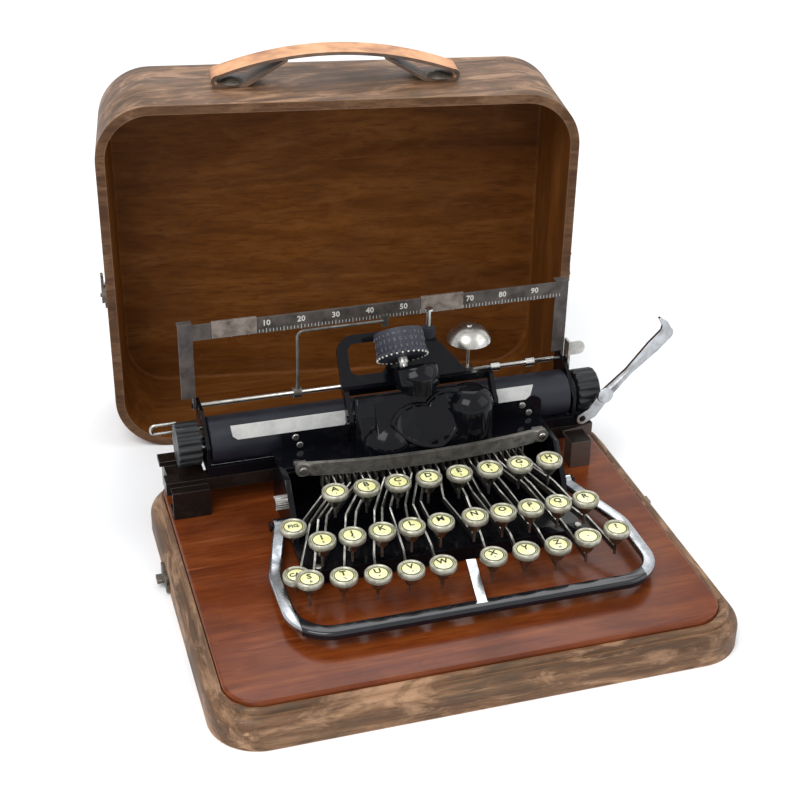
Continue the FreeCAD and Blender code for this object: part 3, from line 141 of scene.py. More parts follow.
woodLooks = {
    "caseOak": {
        "dark": (0.050, 0.025, 0.012), "middle": (0.165, 0.082, 0.040), "light": (0.310, 0.175, 0.092),
        "blotch": (0.062, 0.044, 0.027), "blotchShare": 0.45, "grain": 210.0,
        "rough": (0.42, 0.68), "coat": 0.05, "shine": 0.25, "mottle": 0.55, "scratch": 0.70, "depth": 0.00035,
        "edge": 0.45,
    },
    "lidInside": {
        "dark": (0.076, 0.023, 0.004), "middle": (0.145, 0.047, 0.008), "light": (0.225, 0.083, 0.018),
        "blotch": (0.110, 0.042, 0.014), "blotchShare": 0.40, "grain": 90.0,
        "rough": (0.40, 0.60), "coat": 0.00, "shine": 0.10, "mottle": 0.10, "scratch": 0.12, "depth": 0.00012,
        "edge": 0.25,
    },
    "lidRim": {
        "dark": (0.048, 0.020, 0.009), "middle": (0.100, 0.047, 0.021), "light": (0.180, 0.094, 0.046),
        "blotch": (0.080, 0.040, 0.020), "blotchShare": 0.45, "grain": 160.0,
        "rough": (0.45, 0.65), "coat": 0.00, "shine": 0.15, "mottle": 0.30, "scratch": 0.35, "depth": 0.00020,
        "edge": 0.30,
    },
    "panelWood": {
        "dark": (0.088, 0.015, 0.003), "middle": (0.165, 0.034, 0.006), "light": (0.250, 0.065, 0.013),
        "blotch": (0.058, 0.014, 0.006), "blotchShare": 0.50, "grain": 120.0,
        "rough": (0.14, 0.30), "coat": 0.05, "shine": 0.20, "mottle": 0.10, "scratch": 0.22, "depth": 0.00008,
        "edge": 0.20,
    },
}

# what all the woods share: each noise as scale, detail, roughness and bend, each span as its low and high end
woodGrain = {
    "grainStretch": 0.075, "mottleStretch": 0.35, "markTurn": 9,
    "bands": (0.35, 5.0, 0.62, 0.9), "pores": (3.2, 3.0, 0.70, 0.2), "patches": (13.0, 3.0, 0.55, 0.4),
    "marks": (150.0, 2.0, 0.5), "mottle": (62.0, 5.0, 0.68, 0.8),
    "bandStops": (0.28, 0.50, 0.72), "poreSpan": (0.46, 0.66), "poreShare": 0.62, "patchSpan": (0.48, 0.70),
    "markSpan": (0.70, 0.76), "paleSpan": (0.50, 0.66), "stainSpan": (0.46, 0.34), "roughSpan": (0.3, 0.7),
    "paleGain": 1.7, "paleLift": 0.03, "edgeReach": 0.0016, "coatRough": 0.18, "bump": 0.6,
}


def alongGrain(look, share):
    return tuple(share if axis == look["along"] else 1 for axis in "XYZ")


def woodFinish(name, look, turn=(0, 0, 0)):
    material, tree, shader, coords = startFinish(name)
    grain = woodGrain
    squeeze = alongGrain(look, grain["grainStretch"])
    grained = turnedCoords(tree, coords, squeeze, turn)
    bandScale, *bandRest = grain["bands"]
    poreScale, *poreRest = grain["pores"]
    bands = noiseOn(tree, grained, look["grain"] * bandScale, *bandRest)
    pores = noiseOn(tree, grained, look["grain"] * poreScale, *poreRest)
    patches = noiseOn(tree, coords, *grain["patches"])
    markTurn = (turn[0], turn[1], turn[2] + grain["markTurn"])
    marks = noiseOn(tree, turnedCoords(tree, coords, squeeze, markTurn), *grain["marks"])
    tones = (look["dark"], look["middle"], look["light"])
    colour = rampOn(tree, bands, list(zip(grain["bandStops"], tones)))
    filled = rangeOn(tree, pores, *grain["poreSpan"], 0.0, grain["poreShare"])
    colour = mixOn(tree, filled, colour, look["dark"])
    stained = rangeOn(tree, patches, *grain["patchSpan"], 0.0, look["blotchShare"])
    colour = mixOn(tree, stained, colour, look["blotch"])
    worn = rangeOn(tree, marks, *grain["markSpan"], 0.0, look["scratch"])
    pale = tuple(min(1.0, part * grain["paleGain"] + grain["paleLift"]) for part in look["light"])
    mottleCoords = turnedCoords(tree, coords, alongGrain(look, grain["mottleStretch"]), turn)
    mottle = noiseOn(tree, mottleCoords, *grain["mottle"])
    colour = mixOn(tree, rangeOn(tree, mottle, *grain["paleSpan"], 0.0, look["mottle"]), colour, pale)
    darkened = rangeOn(tree, mottle, *grain["stainSpan"], 0.0, look["mottle"])
    colour = mixOn(tree, darkened, colour, look["blotch"])
    colour = mixOn(tree, worn, colour, pale)
    colour = mixOn(tree, edgeWear(tree, grain["edgeReach"], look["edge"]), colour, pale)
    feed(tree, shader.inputs["Base Color"], colour)
    feed(tree, shader.inputs["Roughness"], rangeOn(tree, patches, *grain["roughSpan"], *look["rough"]))
    shader.inputs["Specular IOR Level"].default_value = look["shine"]
    shader.inputs["Coat Weight"].default_value = look["coat"]
    shader.inputs["Coat Roughness"].default_value = grain["coatRough"]
    bumpOn(tree, shader, pores, look["depth"], grain["bump"])
    return material


metalLooks = {
    "nickel": {"dark": (0.300, 0.285, 0.250), "light": (0.640, 0.630, 0.600), "rough": (0.16, 0.40),
               "cloud": 55.0, "metallic": 1.0, "rust": 0.10},
    "barNickel": {"dark": (0.200, 0.215, 0.235), "light": (0.500, 0.520, 0.540), "rough": (0.16, 0.32),
                  "cloud": 70.0, "metallic": 1.0, "rust": 0.08, "edge": 0.3},
    "keyMetal": {"dark": (0.120, 0.114, 0.084), "light": (0.350, 0.340, 0.275), "rough": (0.20, 0.44),
                 "cloud": 160.0, "metallic": 1.0, "rust": 0.12},
    "keyRim": {"dark": (0.210, 0.200, 0.145), "light": (0.520, 0.505, 0.410), "rough": (0.26, 0.48),
               "cloud": 170.0, "metallic": 0.6, "rust": 0.15},
    "leverSteel": {"dark": (0.130, 0.125, 0.110), "light": (0.400, 0.390, 0.355), "rough": (0.25, 0.48),
                   "cloud": 120.0, "metallic": 1.0, "rust": 0.20},
    "greySteel": {"dark": (0.085, 0.078, 0.066), "light": (0.215, 0.205, 0.185), "rough": (0.36, 0.60),
                  "cloud": 90.0, "metallic": 0.85, "rust": 0.22},
    "guideSteel": {"dark": (0.095, 0.088, 0.075), "light": (0.260, 0.248, 0.222), "rough": (0.38, 0.60),
                   "cloud": 140.0, "metallic": 0.8, "rust": 0.18},
    "clampSteel": {"dark": (0.110, 0.085, 0.068), "light": (0.280, 0.235, 0.200), "rough": (0.34, 0.55),
                   "cloud": 110.0, "metallic": 0.5, "rust": 0.30},
    "gaugeSilver": {"dark": (0.620, 0.620, 0.595), "light": (0.820, 0.820, 0.790), "rough": (0.30, 0.48),
                    "cloud": 90.0, "metallic": 0.25, "rust": 0.08},
    "scaleSteel": {"dark": (0.026, 0.020, 0.017), "light": (0.082, 0.068, 0.060), "rough": (0.42, 0.62),
                   "cloud": 95.0, "metallic": 0.12, "rust": 0.25, "edge": 0.15},
    "leverShine": {"dark": (0.240, 0.240, 0.245), "light": (0.620, 0.625, 0.635), "rough": (0.12, 0.26),
                   "cloud": 55.0, "metallic": 1.0, "rust": 0.08, "edge": 0.3},
    "brownSteel": {"dark": (0.050, 0.038, 0.030), "light": (0.220, 0.190, 0.160), "rough": (0.35, 0.62),
                   "cloud": 150.0, "metallic": 0.8, "rust": 0.40},
}

# what all the metals share: fine and specks are multiples of the cloud's scale, and each noise is given
# as detail, roughness and bend
metalSkin = {
    "fine": 14, "specks": 5, "cloudNoise": (5.0, 0.6, 0.3), "fineNoise": (3.0, 0.6), "speckNoise": (4.0, 0.7),
    "cloudStops": (0.32, 0.62), "speckSpan": (0.60, 0.72), "roughSpan": (0.35, 0.68),
    "rust": (0.090, 0.046, 0.022), "bare": (0.72, 0.70, 0.66), "edge": 0.5, "edgeReach": 0.0004,
    "depth": 0.00003, "bump": 0.5,
}


def metalFinish(name, look):
    material, tree, shader, coords = startFinish(name)
    skin = metalSkin
    cloud = noiseOn(tree, coords, look["cloud"], *skin["cloudNoise"])
    fine = noiseOn(tree, coords, look["cloud"] * skin["fine"], *skin["fineNoise"])
    specks = noiseOn(tree, coords, look["cloud"] * skin["specks"], *skin["speckNoise"])
    colour = rampOn(tree, cloud, list(zip(skin["cloudStops"], (look["dark"], look["light"]))))
    colour = mixOn(tree, rangeOn(tree, specks, *skin["speckSpan"], 0.0, look["rust"]), colour, skin["rust"])
    edge = edgeWear(tree, skin["edgeReach"], look.get("edge", skin["edge"]))
    colour = mixOn(tree, edge, colour, skin["bare"])
    feed(tree, shader.inputs["Base Color"], colour)
    shader.inputs["Metallic"].default_value = look["metallic"]
    smooth, matt = look["rough"]
    feed(tree, shader.inputs["Roughness"], rangeOn(tree, cloud, *skin["roughSpan"], matt, smooth))
    bumpOn(tree, shader, fine, skin["depth"], skin["bump"])
    return material


glossLooks = {
    "blackJapan": {"base": (0.0030, 0.0032, 0.0048), "dust": (0.022, 0.022, 0.025), "rough": (0.07, 0.20),
                   "shine": 0.18, "wear": (0.10, 0.09, 0.08), "wearShare": 0.15, "spots": 60.0},
    "gripBlack": {"base": (0.0050, 0.0058, 0.0090), "dust": (0.026, 0.030, 0.040), "rough": (0.07, 0.17),
                  "shine": 0.50, "wear": (0.07, 0.07, 0.07), "wearShare": 0.15, "spots": 50.0},
    "wayBrown": {"base": (0.0090, 0.0060, 0.0048), "dust": (0.040, 0.031, 0.025), "rough": (0.18, 0.38),
                 "shine": 0.30, "wear": (0.20, 0.16, 0.12), "wearShare": 0.35, "spots": 70.0},
    "knobBlack": {"base": (0.0080, 0.0100, 0.0110), "dust": (0.060, 0.066, 0.070), "rough": (0.34, 0.55),
                  "wear": (0.060, 0.068, 0.070), "wearShare": 0.4, "spots": 110.0},
    "platenRubber": {"base": (0.0110, 0.0125, 0.0190), "dust": (0.045, 0.050, 0.068), "rough": (0.34, 0.52),
                     "shine": 0.35, "wear": (0.060, 0.062, 0.075), "wearShare": 0.3,
                     "spots": 45.0},
    "wheelBlack": {"base": (0.0230, 0.0240, 0.0330), "dust": (0.075, 0.078, 0.100), "rough": (0.48, 0.70),
                   "wear": (0.150, 0.150, 0.175), "wearShare": 0.45, "spots": 260.0},
    "postPaint": {"base": (0.0720, 0.0480, 0.0400), "dust": (0.130, 0.100, 0.088), "rough": (0.25, 0.45),
                  "shine": 0.45, "wear": (0.30, 0.27, 0.25), "wearShare": 0.5, "spots": 80.0},
    "wheelType": {"base": (0.1100, 0.1120, 0.1350), "dust": (0.200, 0.200, 0.230), "rough": (0.45, 0.65),
                  "wear": (0.240, 0.240, 0.270), "wearShare": 0.4, "spots": 500.0},
    "inkFelt": {"base": (0.0120, 0.0120, 0.0180), "dust": (0.045, 0.045, 0.060), "rough": (0.85, 0.95),
                "wear": (0.030, 0.030, 0.040), "wearShare": 0.2, "spots": 600.0},
    "legendBlack": {"base": (0.0120, 0.0120, 0.0100), "dust": (0.050, 0.050, 0.040), "rough": (0.40, 0.60),
                    "coat": 0.3, "wear": (0.060, 0.060, 0.050), "wearShare": 0.2, "spots": 900.0},
    "palePaint": {"base": (0.560, 0.550, 0.490), "dust": (0.330, 0.320, 0.280), "rough": (0.50, 0.70),
                  "wear": (0.700, 0.690, 0.650), "wearShare": 0.3, "spots": 700.0},
}

# what paint, rubber, felt and ink share; fine is a multiple of the spots' scale
paintSkin = {
    "fine": 16, "cloudNoise": (4.0, 0.6, 0.2), "fineNoise": (3.0, 0.65), "fineSpan": (0.62, 0.78),
    "fineShare": 0.6, "dustSpan": (0.55, 0.80), "dustShare": 0.35,
    "roughSpan": (0.35, 0.70), "edgeReach": 0.0004, "shine": 0.4, "coatRough": 0.08, "depth": 0.00006,
    "bump": 0.35,
}


def glossFinish(name, look):
    material, tree, shader, coords = startFinish(name)
    skin = paintSkin
    cloud = noiseOn(tree, coords, look["spots"], *skin["cloudNoise"])
    fine = noiseOn(tree, coords, look["spots"] * skin["fine"], *skin["fineNoise"])
    dusty = rangeOn(tree, fine, *skin["fineSpan"], 0.0, skin["fineShare"])
    colour = mixOn(tree, dusty, look["base"], look["dust"])
    settled = rangeOn(tree, cloud, *skin["dustSpan"], 0.0, skin["dustShare"])
    colour = mixOn(tree, settled, colour, look["dust"])
    colour = mixOn(tree, edgeWear(tree, skin["edgeReach"], look["wearShare"]), colour, look["wear"])
    feed(tree, shader.inputs["Base Color"], colour)
    feed(tree, shader.inputs["Roughness"], rangeOn(tree, cloud, *skin["roughSpan"], *look["rough"]))
    shader.inputs["Specular IOR Level"].default_value = look.get("shine", skin["shine"])
    shader.inputs["Coat Weight"].default_value = look.get("coat", 0.0)
    shader.inputs["Coat Roughness"].default_value = skin["coatRough"]
    bumpOn(tree, shader, cloud, skin["depth"], skin["bump"])
    return material


cardLook = {
    "middle": (0.930, 0.930, 0.480), "edge": (0.800, 0.770, 0.320), "age": (0.560, 0.480, 0.170),
    "cloud": (95.0, 4.0, 0.6, 0.5), "fine": (1500.0, 3.0, 0.6), "stops": (0.36, 0.56),
    "ageSpan": (0.64, 0.80), "ageShare": 0.45, "roughSpan": (0.3, 0.7), "rough": (0.30, 0.45),
    "coat": 0.7, "coatRough": 0.06, "depth": 0.00001, "bump": 0.3,
}


def cardFinish(name, look):
    material, tree, shader, coords = startFinish(name)
    cloud = noiseOn(tree, coords, *look["cloud"])
    fine = noiseOn(tree, coords, *look["fine"])
    colour = rampOn(tree, cloud, list(zip(look["stops"], (look["edge"], look["middle"]))))
    colour = mixOn(tree, rangeOn(tree, fine, *look["ageSpan"], 0.0, look["ageShare"]), colour, look["age"])
    feed(tree, shader.inputs["Base Color"], colour)
    feed(tree, shader.inputs["Roughness"], rangeOn(tree, cloud, *look["roughSpan"], *look["rough"]))
    shader.inputs["Coat Weight"].default_value = look["coat"]
    shader.inputs["Coat Roughness"].default_value = look["coatRough"]
    bumpOn(tree, shader, fine, look["depth"], look["bump"])
    return material


leatherLooks = {
    "strapLeather": {"dark": (0.350, 0.130, 0.045), "middle": (0.690, 0.330, 0.145),
                     "light": (0.830, 0.480, 0.250)},
    "strapBack": {"dark": (0.045, 0.026, 0.016), "middle": (0.110, 0.066, 0.042),
                  "light": (0.190, 0.115, 0.072)},
}

leatherSkin = {
    "cloud": (38.0, 4.0, 0.6, 0.4), "fine": (700.0, 4.0, 0.6), "cells": 900.0, "stops": (0.30, 0.50, 0.72),
    "fineSpan": (0.58, 0.75), "fineShare": 0.5, "edgeReach": 0.0008, "edge": 0.6, "roughSpan": (0.3, 0.7),
    "rough": (0.42, 0.60), "depth": 0.00012, "bump": 0.5,
}


def leatherFinish(name, look):
    material, tree, shader, coords = startFinish(name)
    skin = leatherSkin
    cloud = noiseOn(tree, coords, *skin["cloud"])
    cells = tree.nodes.new("ShaderNodeTexVoronoi")
    cells.feature = "DISTANCE_TO_EDGE"
    cells.inputs["Scale"].default_value = skin["cells"]
    tree.links.new(coords, cells.inputs["Vector"])
    fine = noiseOn(tree, coords, *skin["fine"])
    colour = rampOn(tree, cloud, list(zip(skin["stops"], (look["dark"], look["middle"], look["light"]))))
    colour = mixOn(tree, rangeOn(tree, fine, *skin["fineSpan"], 0.0, skin["fineShare"]), colour, look["dark"])
    colour = mixOn(tree, edgeWear(tree, skin["edgeReach"], skin["edge"]), colour, look["dark"])
    feed(tree, shader.inputs["Base Color"], colour)
    feed(tree, shader.inputs["Roughness"], rangeOn(tree, cloud, *skin["roughSpan"], *skin["rough"]))
    bumpOn(tree, shader, cells.outputs["Distance"], skin["depth"], skin["bump"])
    return material


finishes = {name: metalFinish(name, look) for name, look in metalLooks.items()}
finishes.update({name: glossFinish(name, look) for name, look in glossLooks.items()})
finishes["keyCard"] = cardFinish("keyCard", cardLook)
finishes.update({name: leatherFinish(name, look) for name, look in leatherLooks.items()})
lidTurn = -8.6  # degrees, the lid stands a little askew behind the base
# each wood with the way its grain runs and its turn about the upright axis
woodRuns = {
    "caseOak": ("caseOak", "X", 0), "caseOakSide": ("caseOak", "Y", 0), "lidRim": ("lidRim", "X", 0),
    "panelWood": ("panelWood", "X", 0), "lidOakTop": ("caseOak", "X", -lidTurn),
    "lidOakSide": ("caseOak", "Z", -lidTurn), "lidInsideBack": ("lidInside", "X", -lidTurn),
    "lidInsideSide": ("lidInside", "Z", -lidTurn),
}
for name, (wood, along, turn) in woodRuns.items():
    finishes[name] = woodFinish(name, dict(woodLooks[wood], along=along), (0, 0, turn))
print("finishes made", len(finishes))


# mesh helpers

def showPiece(name, mesh, body):
    piece = bpy.data.objects.new(name, mesh)
    bpy.context.scene.collection.objects.link(piece)
    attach(piece, body)
    return piece


dressLook = {"merge": 0.000002, "flatAngle": 0.4, "bevelAngle": 40, "bevelSegments": 2}


def dressNode(node, finishNames, pick=None, sharp=35.0, bevel=0.0):
    # a merged copy of a node's mesh with a finish for each face, standing for that node
    bm = bmesh.new()
    bm.from_mesh(cad[node].data)
    bmesh.ops.remove_doubles(bm, verts=bm.verts, dist=dressLook["merge"])
    flatAngle = math.radians(dressLook["flatAngle"])
    bmesh.ops.dissolve_limit(bm, angle_limit=flatAngle, verts=bm.verts, edges=bm.edges)
    for face in bm.faces:
        face.smooth = True
        face.material_index = pick(face) if pick else 0
    mesh = bpy.data.meshes.new("dressed_" + node)
    bm.to_mesh(mesh)
    bm.free()
    for finish in finishNames:
        mesh.materials.append(finishes[finish])
    mesh.set_sharp_from_angle(angle=math.radians(sharp))
    piece = showPiece("dressed_" + node, mesh, bodyOf[node])
    if bevel:
        rounding = piece.modifiers.new("edges", "BEVEL")
        rounding.width = bevel
        rounding.segments = dressLook["bevelSegments"]
        rounding.limit_method = "ANGLE"
        rounding.angle_limit = math.radians(dressLook["bevelAngle"])
    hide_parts(node)
    return piece


def wordMesh(word, size, depth, bold=0.0):
    # a word in plain type lying flat, centred, as a mesh
    curve = bpy.data.curves.new("word", "FONT")
    curve.body = word
    curve.size = size
    curve.offset = size * bold
    curve.extrude = depth
    curve.resolution_u = 2
    curve.align_x = "CENTER"
    curve.align_y = "CENTER"
    holder = bpy.data.objects.new("word", curve)
    bpy.context.scene.collection.objects.link(holder)
    bpy.context.view_layer.update()
    mesh = bpy.data.meshes.new_from_object(holder.evaluated_get(bpy.context.evaluated_depsgraph_get()))
    bpy.data.objects.remove(holder)
    bpy.data.curves.remove(curve)
    return mesh


def addMesh(bm, mesh, place, finishIndex):
    # joins a placed copy of the mesh on
    fresh = bmesh.new()
    fresh.from_mesh(mesh)
    bmesh.ops.transform(fresh, matrix=place, verts=fresh.verts)
    for face in fresh.faces:
        face.material_index = finishIndex
    joined = bpy.data.meshes.new("joined")
    fresh.to_mesh(joined)
    fresh.free()
    bm.from_mesh(joined)
    bpy.data.meshes.remove(joined)


def addLathe(bm, profile, finishIndex, place, steps=40):
    # a surface turned about Z from (radius, height) pairs; radius 0 makes a pole
    rings = []
    turns = [2 * math.pi * i / steps for i in range(steps)]
    for radius, height in profile:
        if radius == 0:
            rings.append([bm.verts.new(place @ Vector((0, 0, height)))])
        else:
            points = [Vector((radius * math.cos(turn), radius * math.sin(turn), height)) for turn in turns]
            rings.append([bm.verts.new(place @ point) for point in points])
    for lower, upper in zip(rings, rings[1:]):
        for i in range(steps):
            j = (i + 1) % steps
            below = [lower[i % len(lower)], lower[j % len(lower)]]
            above = [upper[j % len(upper)], upper[i % len(upper)]]
            corners = list(dict.fromkeys(below + above))  # a pole's two corners are one
            if len(corners) > 2:
                face = bm.faces.new(corners)
                face.smooth = True
                face.material_index = finishIndex


def finishMesh(bm, name, finishNames):
    mesh = bpy.data.meshes.new(name)
    bm.to_mesh(mesh)
    bm.free()
    for finish in finishNames:
        mesh.materials.append(finishes[finish])
    return mesh


# node-tree helpers for what repeats

def startTree(name, inputs):
    tree = bpy.data.node_groups.new(name, "GeometryNodeTree")
    for label, (kind, value) in inputs.items():
        socket = tree.interface.new_socket(label, in_out="INPUT", socket_type=kind)
        if value is not None:
            socket.default_value = value
    tree.interface.new_socket("Geometry", in_out="OUTPUT", socket_type="NodeSocketGeometry")
    return tree, tree.nodes.new("NodeGroupInput"), tree.nodes.new("NodeGroupOutput")


def growMesh(tree, values, name):
    # evaluates a tree on an empty object and keeps the plain mesh
    holder = bpy.data.objects.new(name, bpy.data.meshes.new(name))
    bpy.context.scene.collection.objects.link(holder)
    modifier = holder.modifiers.new("grow", "NODES")
    modifier.node_group = tree
    for item in tree.interface.items_tree:
        if item.in_out == "INPUT" and item.name in values:
            modifier[item.identifier] = values[item.name]
    bpy.context.view_layer.update()
    mesh = bpy.data.meshes.new_from_object(holder.evaluated_get(bpy.context.evaluated_depsgraph_get()))
    holder.modifiers.clear()
    bpy.data.objects.remove(holder)
    mesh.name = name
    return mesh


def closeTree(tree, end, geometry, finishSocket):
    realize = tree.nodes.new("GeometryNodeRealizeInstances")
    paint = tree.nodes.new("GeometryNodeSetMaterial")
    tree.links.new(geometry, realize.inputs["Geometry"])
    tree.links.new(realize.outputs["Geometry"], paint.inputs["Geometry"])
    tree.links.new(finishSocket, paint.inputs["Material"])
    tree.links.new(paint.outputs["Geometry"], end.inputs["Geometry"])
    return tree


def rowTree():
    # boxes along a line, every so many of them longer
    tree, start, end = startTree("markRow", {
        "Count": ("NodeSocketInt", 10), "Start": ("NodeSocketVector", (0, 0, 0)),
        "Step": ("NodeSocketVector", (0.00254, 0, 0)), "Size": ("NodeSocketVector", (0.0003, 0.0002, 0.0022)),
        "Every": ("NodeSocketInt", 5), "Long": ("NodeSocketFloat", 1.6),
        "Finish": ("NodeSocketMaterial", None)})
    line = tree.nodes.new("GeometryNodeMeshLine")
    tree.links.new(start.outputs["Count"], line.inputs["Count"])
    tree.links.new(start.outputs["Start"], line.inputs["Start Location"])
    tree.links.new(start.outputs["Step"], line.inputs["Offset"])
    block = tree.nodes.new("GeometryNodeMeshCube")
    tree.links.new(start.outputs["Size"], block.inputs["Size"])
    number = tree.nodes.new("GeometryNodeInputIndex")
    rest = tree.nodes.new("ShaderNodeMath")
    rest.operation = "MODULO"
    tree.links.new(number.outputs["Index"], rest.inputs[0])
    tree.links.new(start.outputs["Every"], rest.inputs[1])
    isLong = tree.nodes.new("ShaderNodeMath")
    isLong.operation = "LESS_THAN"
    isLong.inputs[1].default_value = 0.5
    tree.links.new(rest.outputs[0], isLong.inputs[0])
    reach = tree.nodes.new("ShaderNodeMix")
    reach.data_type = "FLOAT"
    reach.inputs[2].default_value = 1.0
    tree.links.new(isLong.outputs[0], reach.inputs[0])
    tree.links.new(start.outputs["Long"], reach.inputs[3])
    grow = tree.nodes.new("ShaderNodeCombineXYZ")
    grow.inputs[0].default_value = 1.0
    grow.inputs[1].default_value = 1.0
    tree.links.new(reach.outputs[0], grow.inputs[2])
    spread = tree.nodes.new("GeometryNodeInstanceOnPoints")
    tree.links.new(line.outputs["Mesh"], spread.inputs["Points"])
    tree.links.new(block.outputs["Mesh"], spread.inputs["Instance"])
    tree.links.new(grow.outputs[0], spread.inputs["Scale"])
    return closeTree(tree, end, spread.outputs["Instances"], start.outputs["Finish"])


def ringTree():
    # small balls round a circle
    tree, start, end = startTree("ballRing", {
        "Count": ("NodeSocketInt", 28), "Radius": ("NodeSocketFloat", 0.018),
        "Ball": ("NodeSocketFloat", 0.0008), "Finish": ("NodeSocketMaterial", None)})
    circle = tree.nodes.new("GeometryNodeMeshCircle")
    tree.links.new(start.outputs["Count"], circle.inputs["Vertices"])
    tree.links.new(start.outputs["Radius"], circle.inputs["Radius"])
    ball = tree.nodes.new("GeometryNodeMeshIcoSphere")
    ball.inputs["Subdivisions"].default_value = 2
    tree.links.new(start.outputs["Ball"], ball.inputs["Radius"])
    spread = tree.nodes.new("GeometryNodeInstanceOnPoints")
    tree.links.new(circle.outputs["Mesh"], spread.inputs["Points"])
    tree.links.new(ball.outputs["Mesh"], spread.inputs["Instance"])
    return closeTree(tree, end, spread.outputs["Instances"], start.outputs["Finish"])


markRow = rowTree()
ballRing = ringTree()
print("trees built")


# wooden case: the grain follows each rail of the base, and each wall of the lid

railLook = {"cornerX": 0.146, "cornerY": 0.108}
lidPlace = {"front": Vector((-0.0094, 0.2036, 0.0)), "middleHeight": 0.142, "rim": 0.002, "back": 0.101,
            "rimFacing": -0.8, "backFacing": 0.7, "rounding": 0.05}
lidFinishes = ["lidOakTop", "lidOakSide", "lidInsideBack", "lidInsideSide", "lidRim"]
strapLook = {"crest": 0.3087, "drop": 0.0155, "half": 0.0885, "fold": 0.2860, "skin": 0.0018, "upward": 0.3,
             "edgeOn": 0.5}
straighten = Matrix.Rotation(math.radians(-lidTurn), 3, "Z")  # turns the lid square to the axes


def inLid(point):
    return straighten @ (point - lidPlace["front"])


def pickRail(face):
    middle = face.calc_center_median()
    beside = abs(middle.x) - railLook["cornerX"] > abs(middle.y) - railLook["cornerY"]
    return 1 if beside else 0


def pickLid(face):
    # gives the place in lidFinishes
    middle = inLid(face.calc_center_median())
    normal = straighten @ face.normal
    outward = middle.x * normal.x + (middle.z - lidPlace["middleHeight"]) * normal.z
    if normal.y < lidPlace["rimFacing"] and middle.y < lidPlace["rim"]:
        return 4
    if normal.y > lidPlace["backFacing"] and middle.y > lidPlace["back"]:
        return 0
    if normal.y < -lidPlace["backFacing"]:
        return 2
    side = abs(normal.x) > abs(normal.z)
    if outward > 0 or normal.y > lidPlace["rounding"]:
        return 1 if side else 0
    return 3 if side else 2


def pickStrap(face):
    # pale grain side above, dark flesh side and edges below
    look = strapLook
    middle = inLid(face.calc_center_median())
    facesUp = face.normal.z > look["upward"]
    if abs(middle.x) > look["half"]:
        edgeOn = abs((straighten @ face.normal).y) > look["edgeOn"]
        outward = face.normal.x * middle.x > 0 or facesUp
        return 0 if outward and not edgeOn and middle.z > look["fold"] else 1
    rise = look["crest"] - look["drop"] * (middle.x / look["half"]) ** 2
    return 0 if facesUp and middle.z > rise - look["skin"] else 1


dressNode("base_plinth", ["caseOak", "caseOakSide"], pickRail, 50)
dressNode("base_panel", ["panelWood"], None, 50)
dressNode("lid_band", lidFinishes, pickLid, 50)
dressNode("lid_panel", lidFinishes, pickLid, 50)
dressNode("lid_handle", ["strapLeather", "strapBack"], pickStrap, 40)
for node in ("base_catches", "lid_fittings", "latch_left", "latch_right"):
    dressNode(node, ["brownSteel"], None, 35, 0.0003)
print("case dressed")


# machine: each node's own finish and the width of its bevel

plainFinishes = {
    "main_frame": ("blackJapan", 0.0005), "head_casing": ("blackJapan", 0.0),
    "carriage_frame": ("blackJapan", 0.0003),
    "frame_screws": ("nickel", 0.0), "lever_guide": ("guideSteel", 0.0), "fulcrum_rod": ("greySteel", 0.0),
    "line_gauges": ("gaugeSilver", 0.0), "carriage_rods": ("nickel", 0.0), "bell": ("nickel", 0.0),
    "platen_roller": ("platenRubber", 0.0), "platen_knobs": ("knobBlack", 0.0),
    "line_space_lever": ("leverShine", 0.0), "paper_wire": ("greySteel", 0.0),
    "release_lever": ("nickel", 0.0), "type_wheel": ("wheelBlack", 0.0), "ink_roller": ("inkFelt", 0.0),
    "space_bar": ("barNickel", 0.0), "space_bar_grip": ("gripBlack", 0.0),
}
for node, (finish, bevel) in plainFinishes.items():
    dressNode(node, [finish], None, 35, bevel)

inkPost = {"x": 0.026, "y": 0.097, "reach": 0.0034, "foot": 0.1402}
wheelNut = {"middle": Vector((-0.0015, 0.0686, 0.1393)), "reach": 0.0046}
wayStands = {"top": 0.0515, "right": 0.120}
scaleClamps = {"spans": ((-0.1273, -0.0947), (0.0267, 0.0593)), "foot": 0.1475}


def pickPost(face):
    middle = face.calc_center_median()
    apart = math.hypot(middle.x - inkPost["x"], middle.y - inkPost["y"])
    onPost = apart < inkPost["reach"] and middle.z > inkPost["foot"]
    onNut = (middle - wheelNut["middle"]).length < wheelNut["reach"]
    return 1 if onPost or onNut else 0


def pickStand(face):
    middle = face.calc_center_median()
    return 1 if middle.z < wayStands["top"] and middle.x > wayStands["right"] else 0


def pickClamp(face):
    middle = face.calc_center_median()
    inside = any(left < middle.x < right for left, right in scaleClamps["spans"])
    return 1 if inside and middle.z > scaleClamps["foot"] else 0


dressNode("swing_frame", ["blackJapan", "nickel"], pickPost, 35)
dressNode("carriage_way", ["wayBrown", "postPaint"], pickStand, 35, 0.0003)
dressNode("scale_bar", ["scaleSteel", "clampSteel"], pickClamp, 35, 0.0002)
print("machine dressed")


# keys: metal cup, card with its printed ring, and the legend

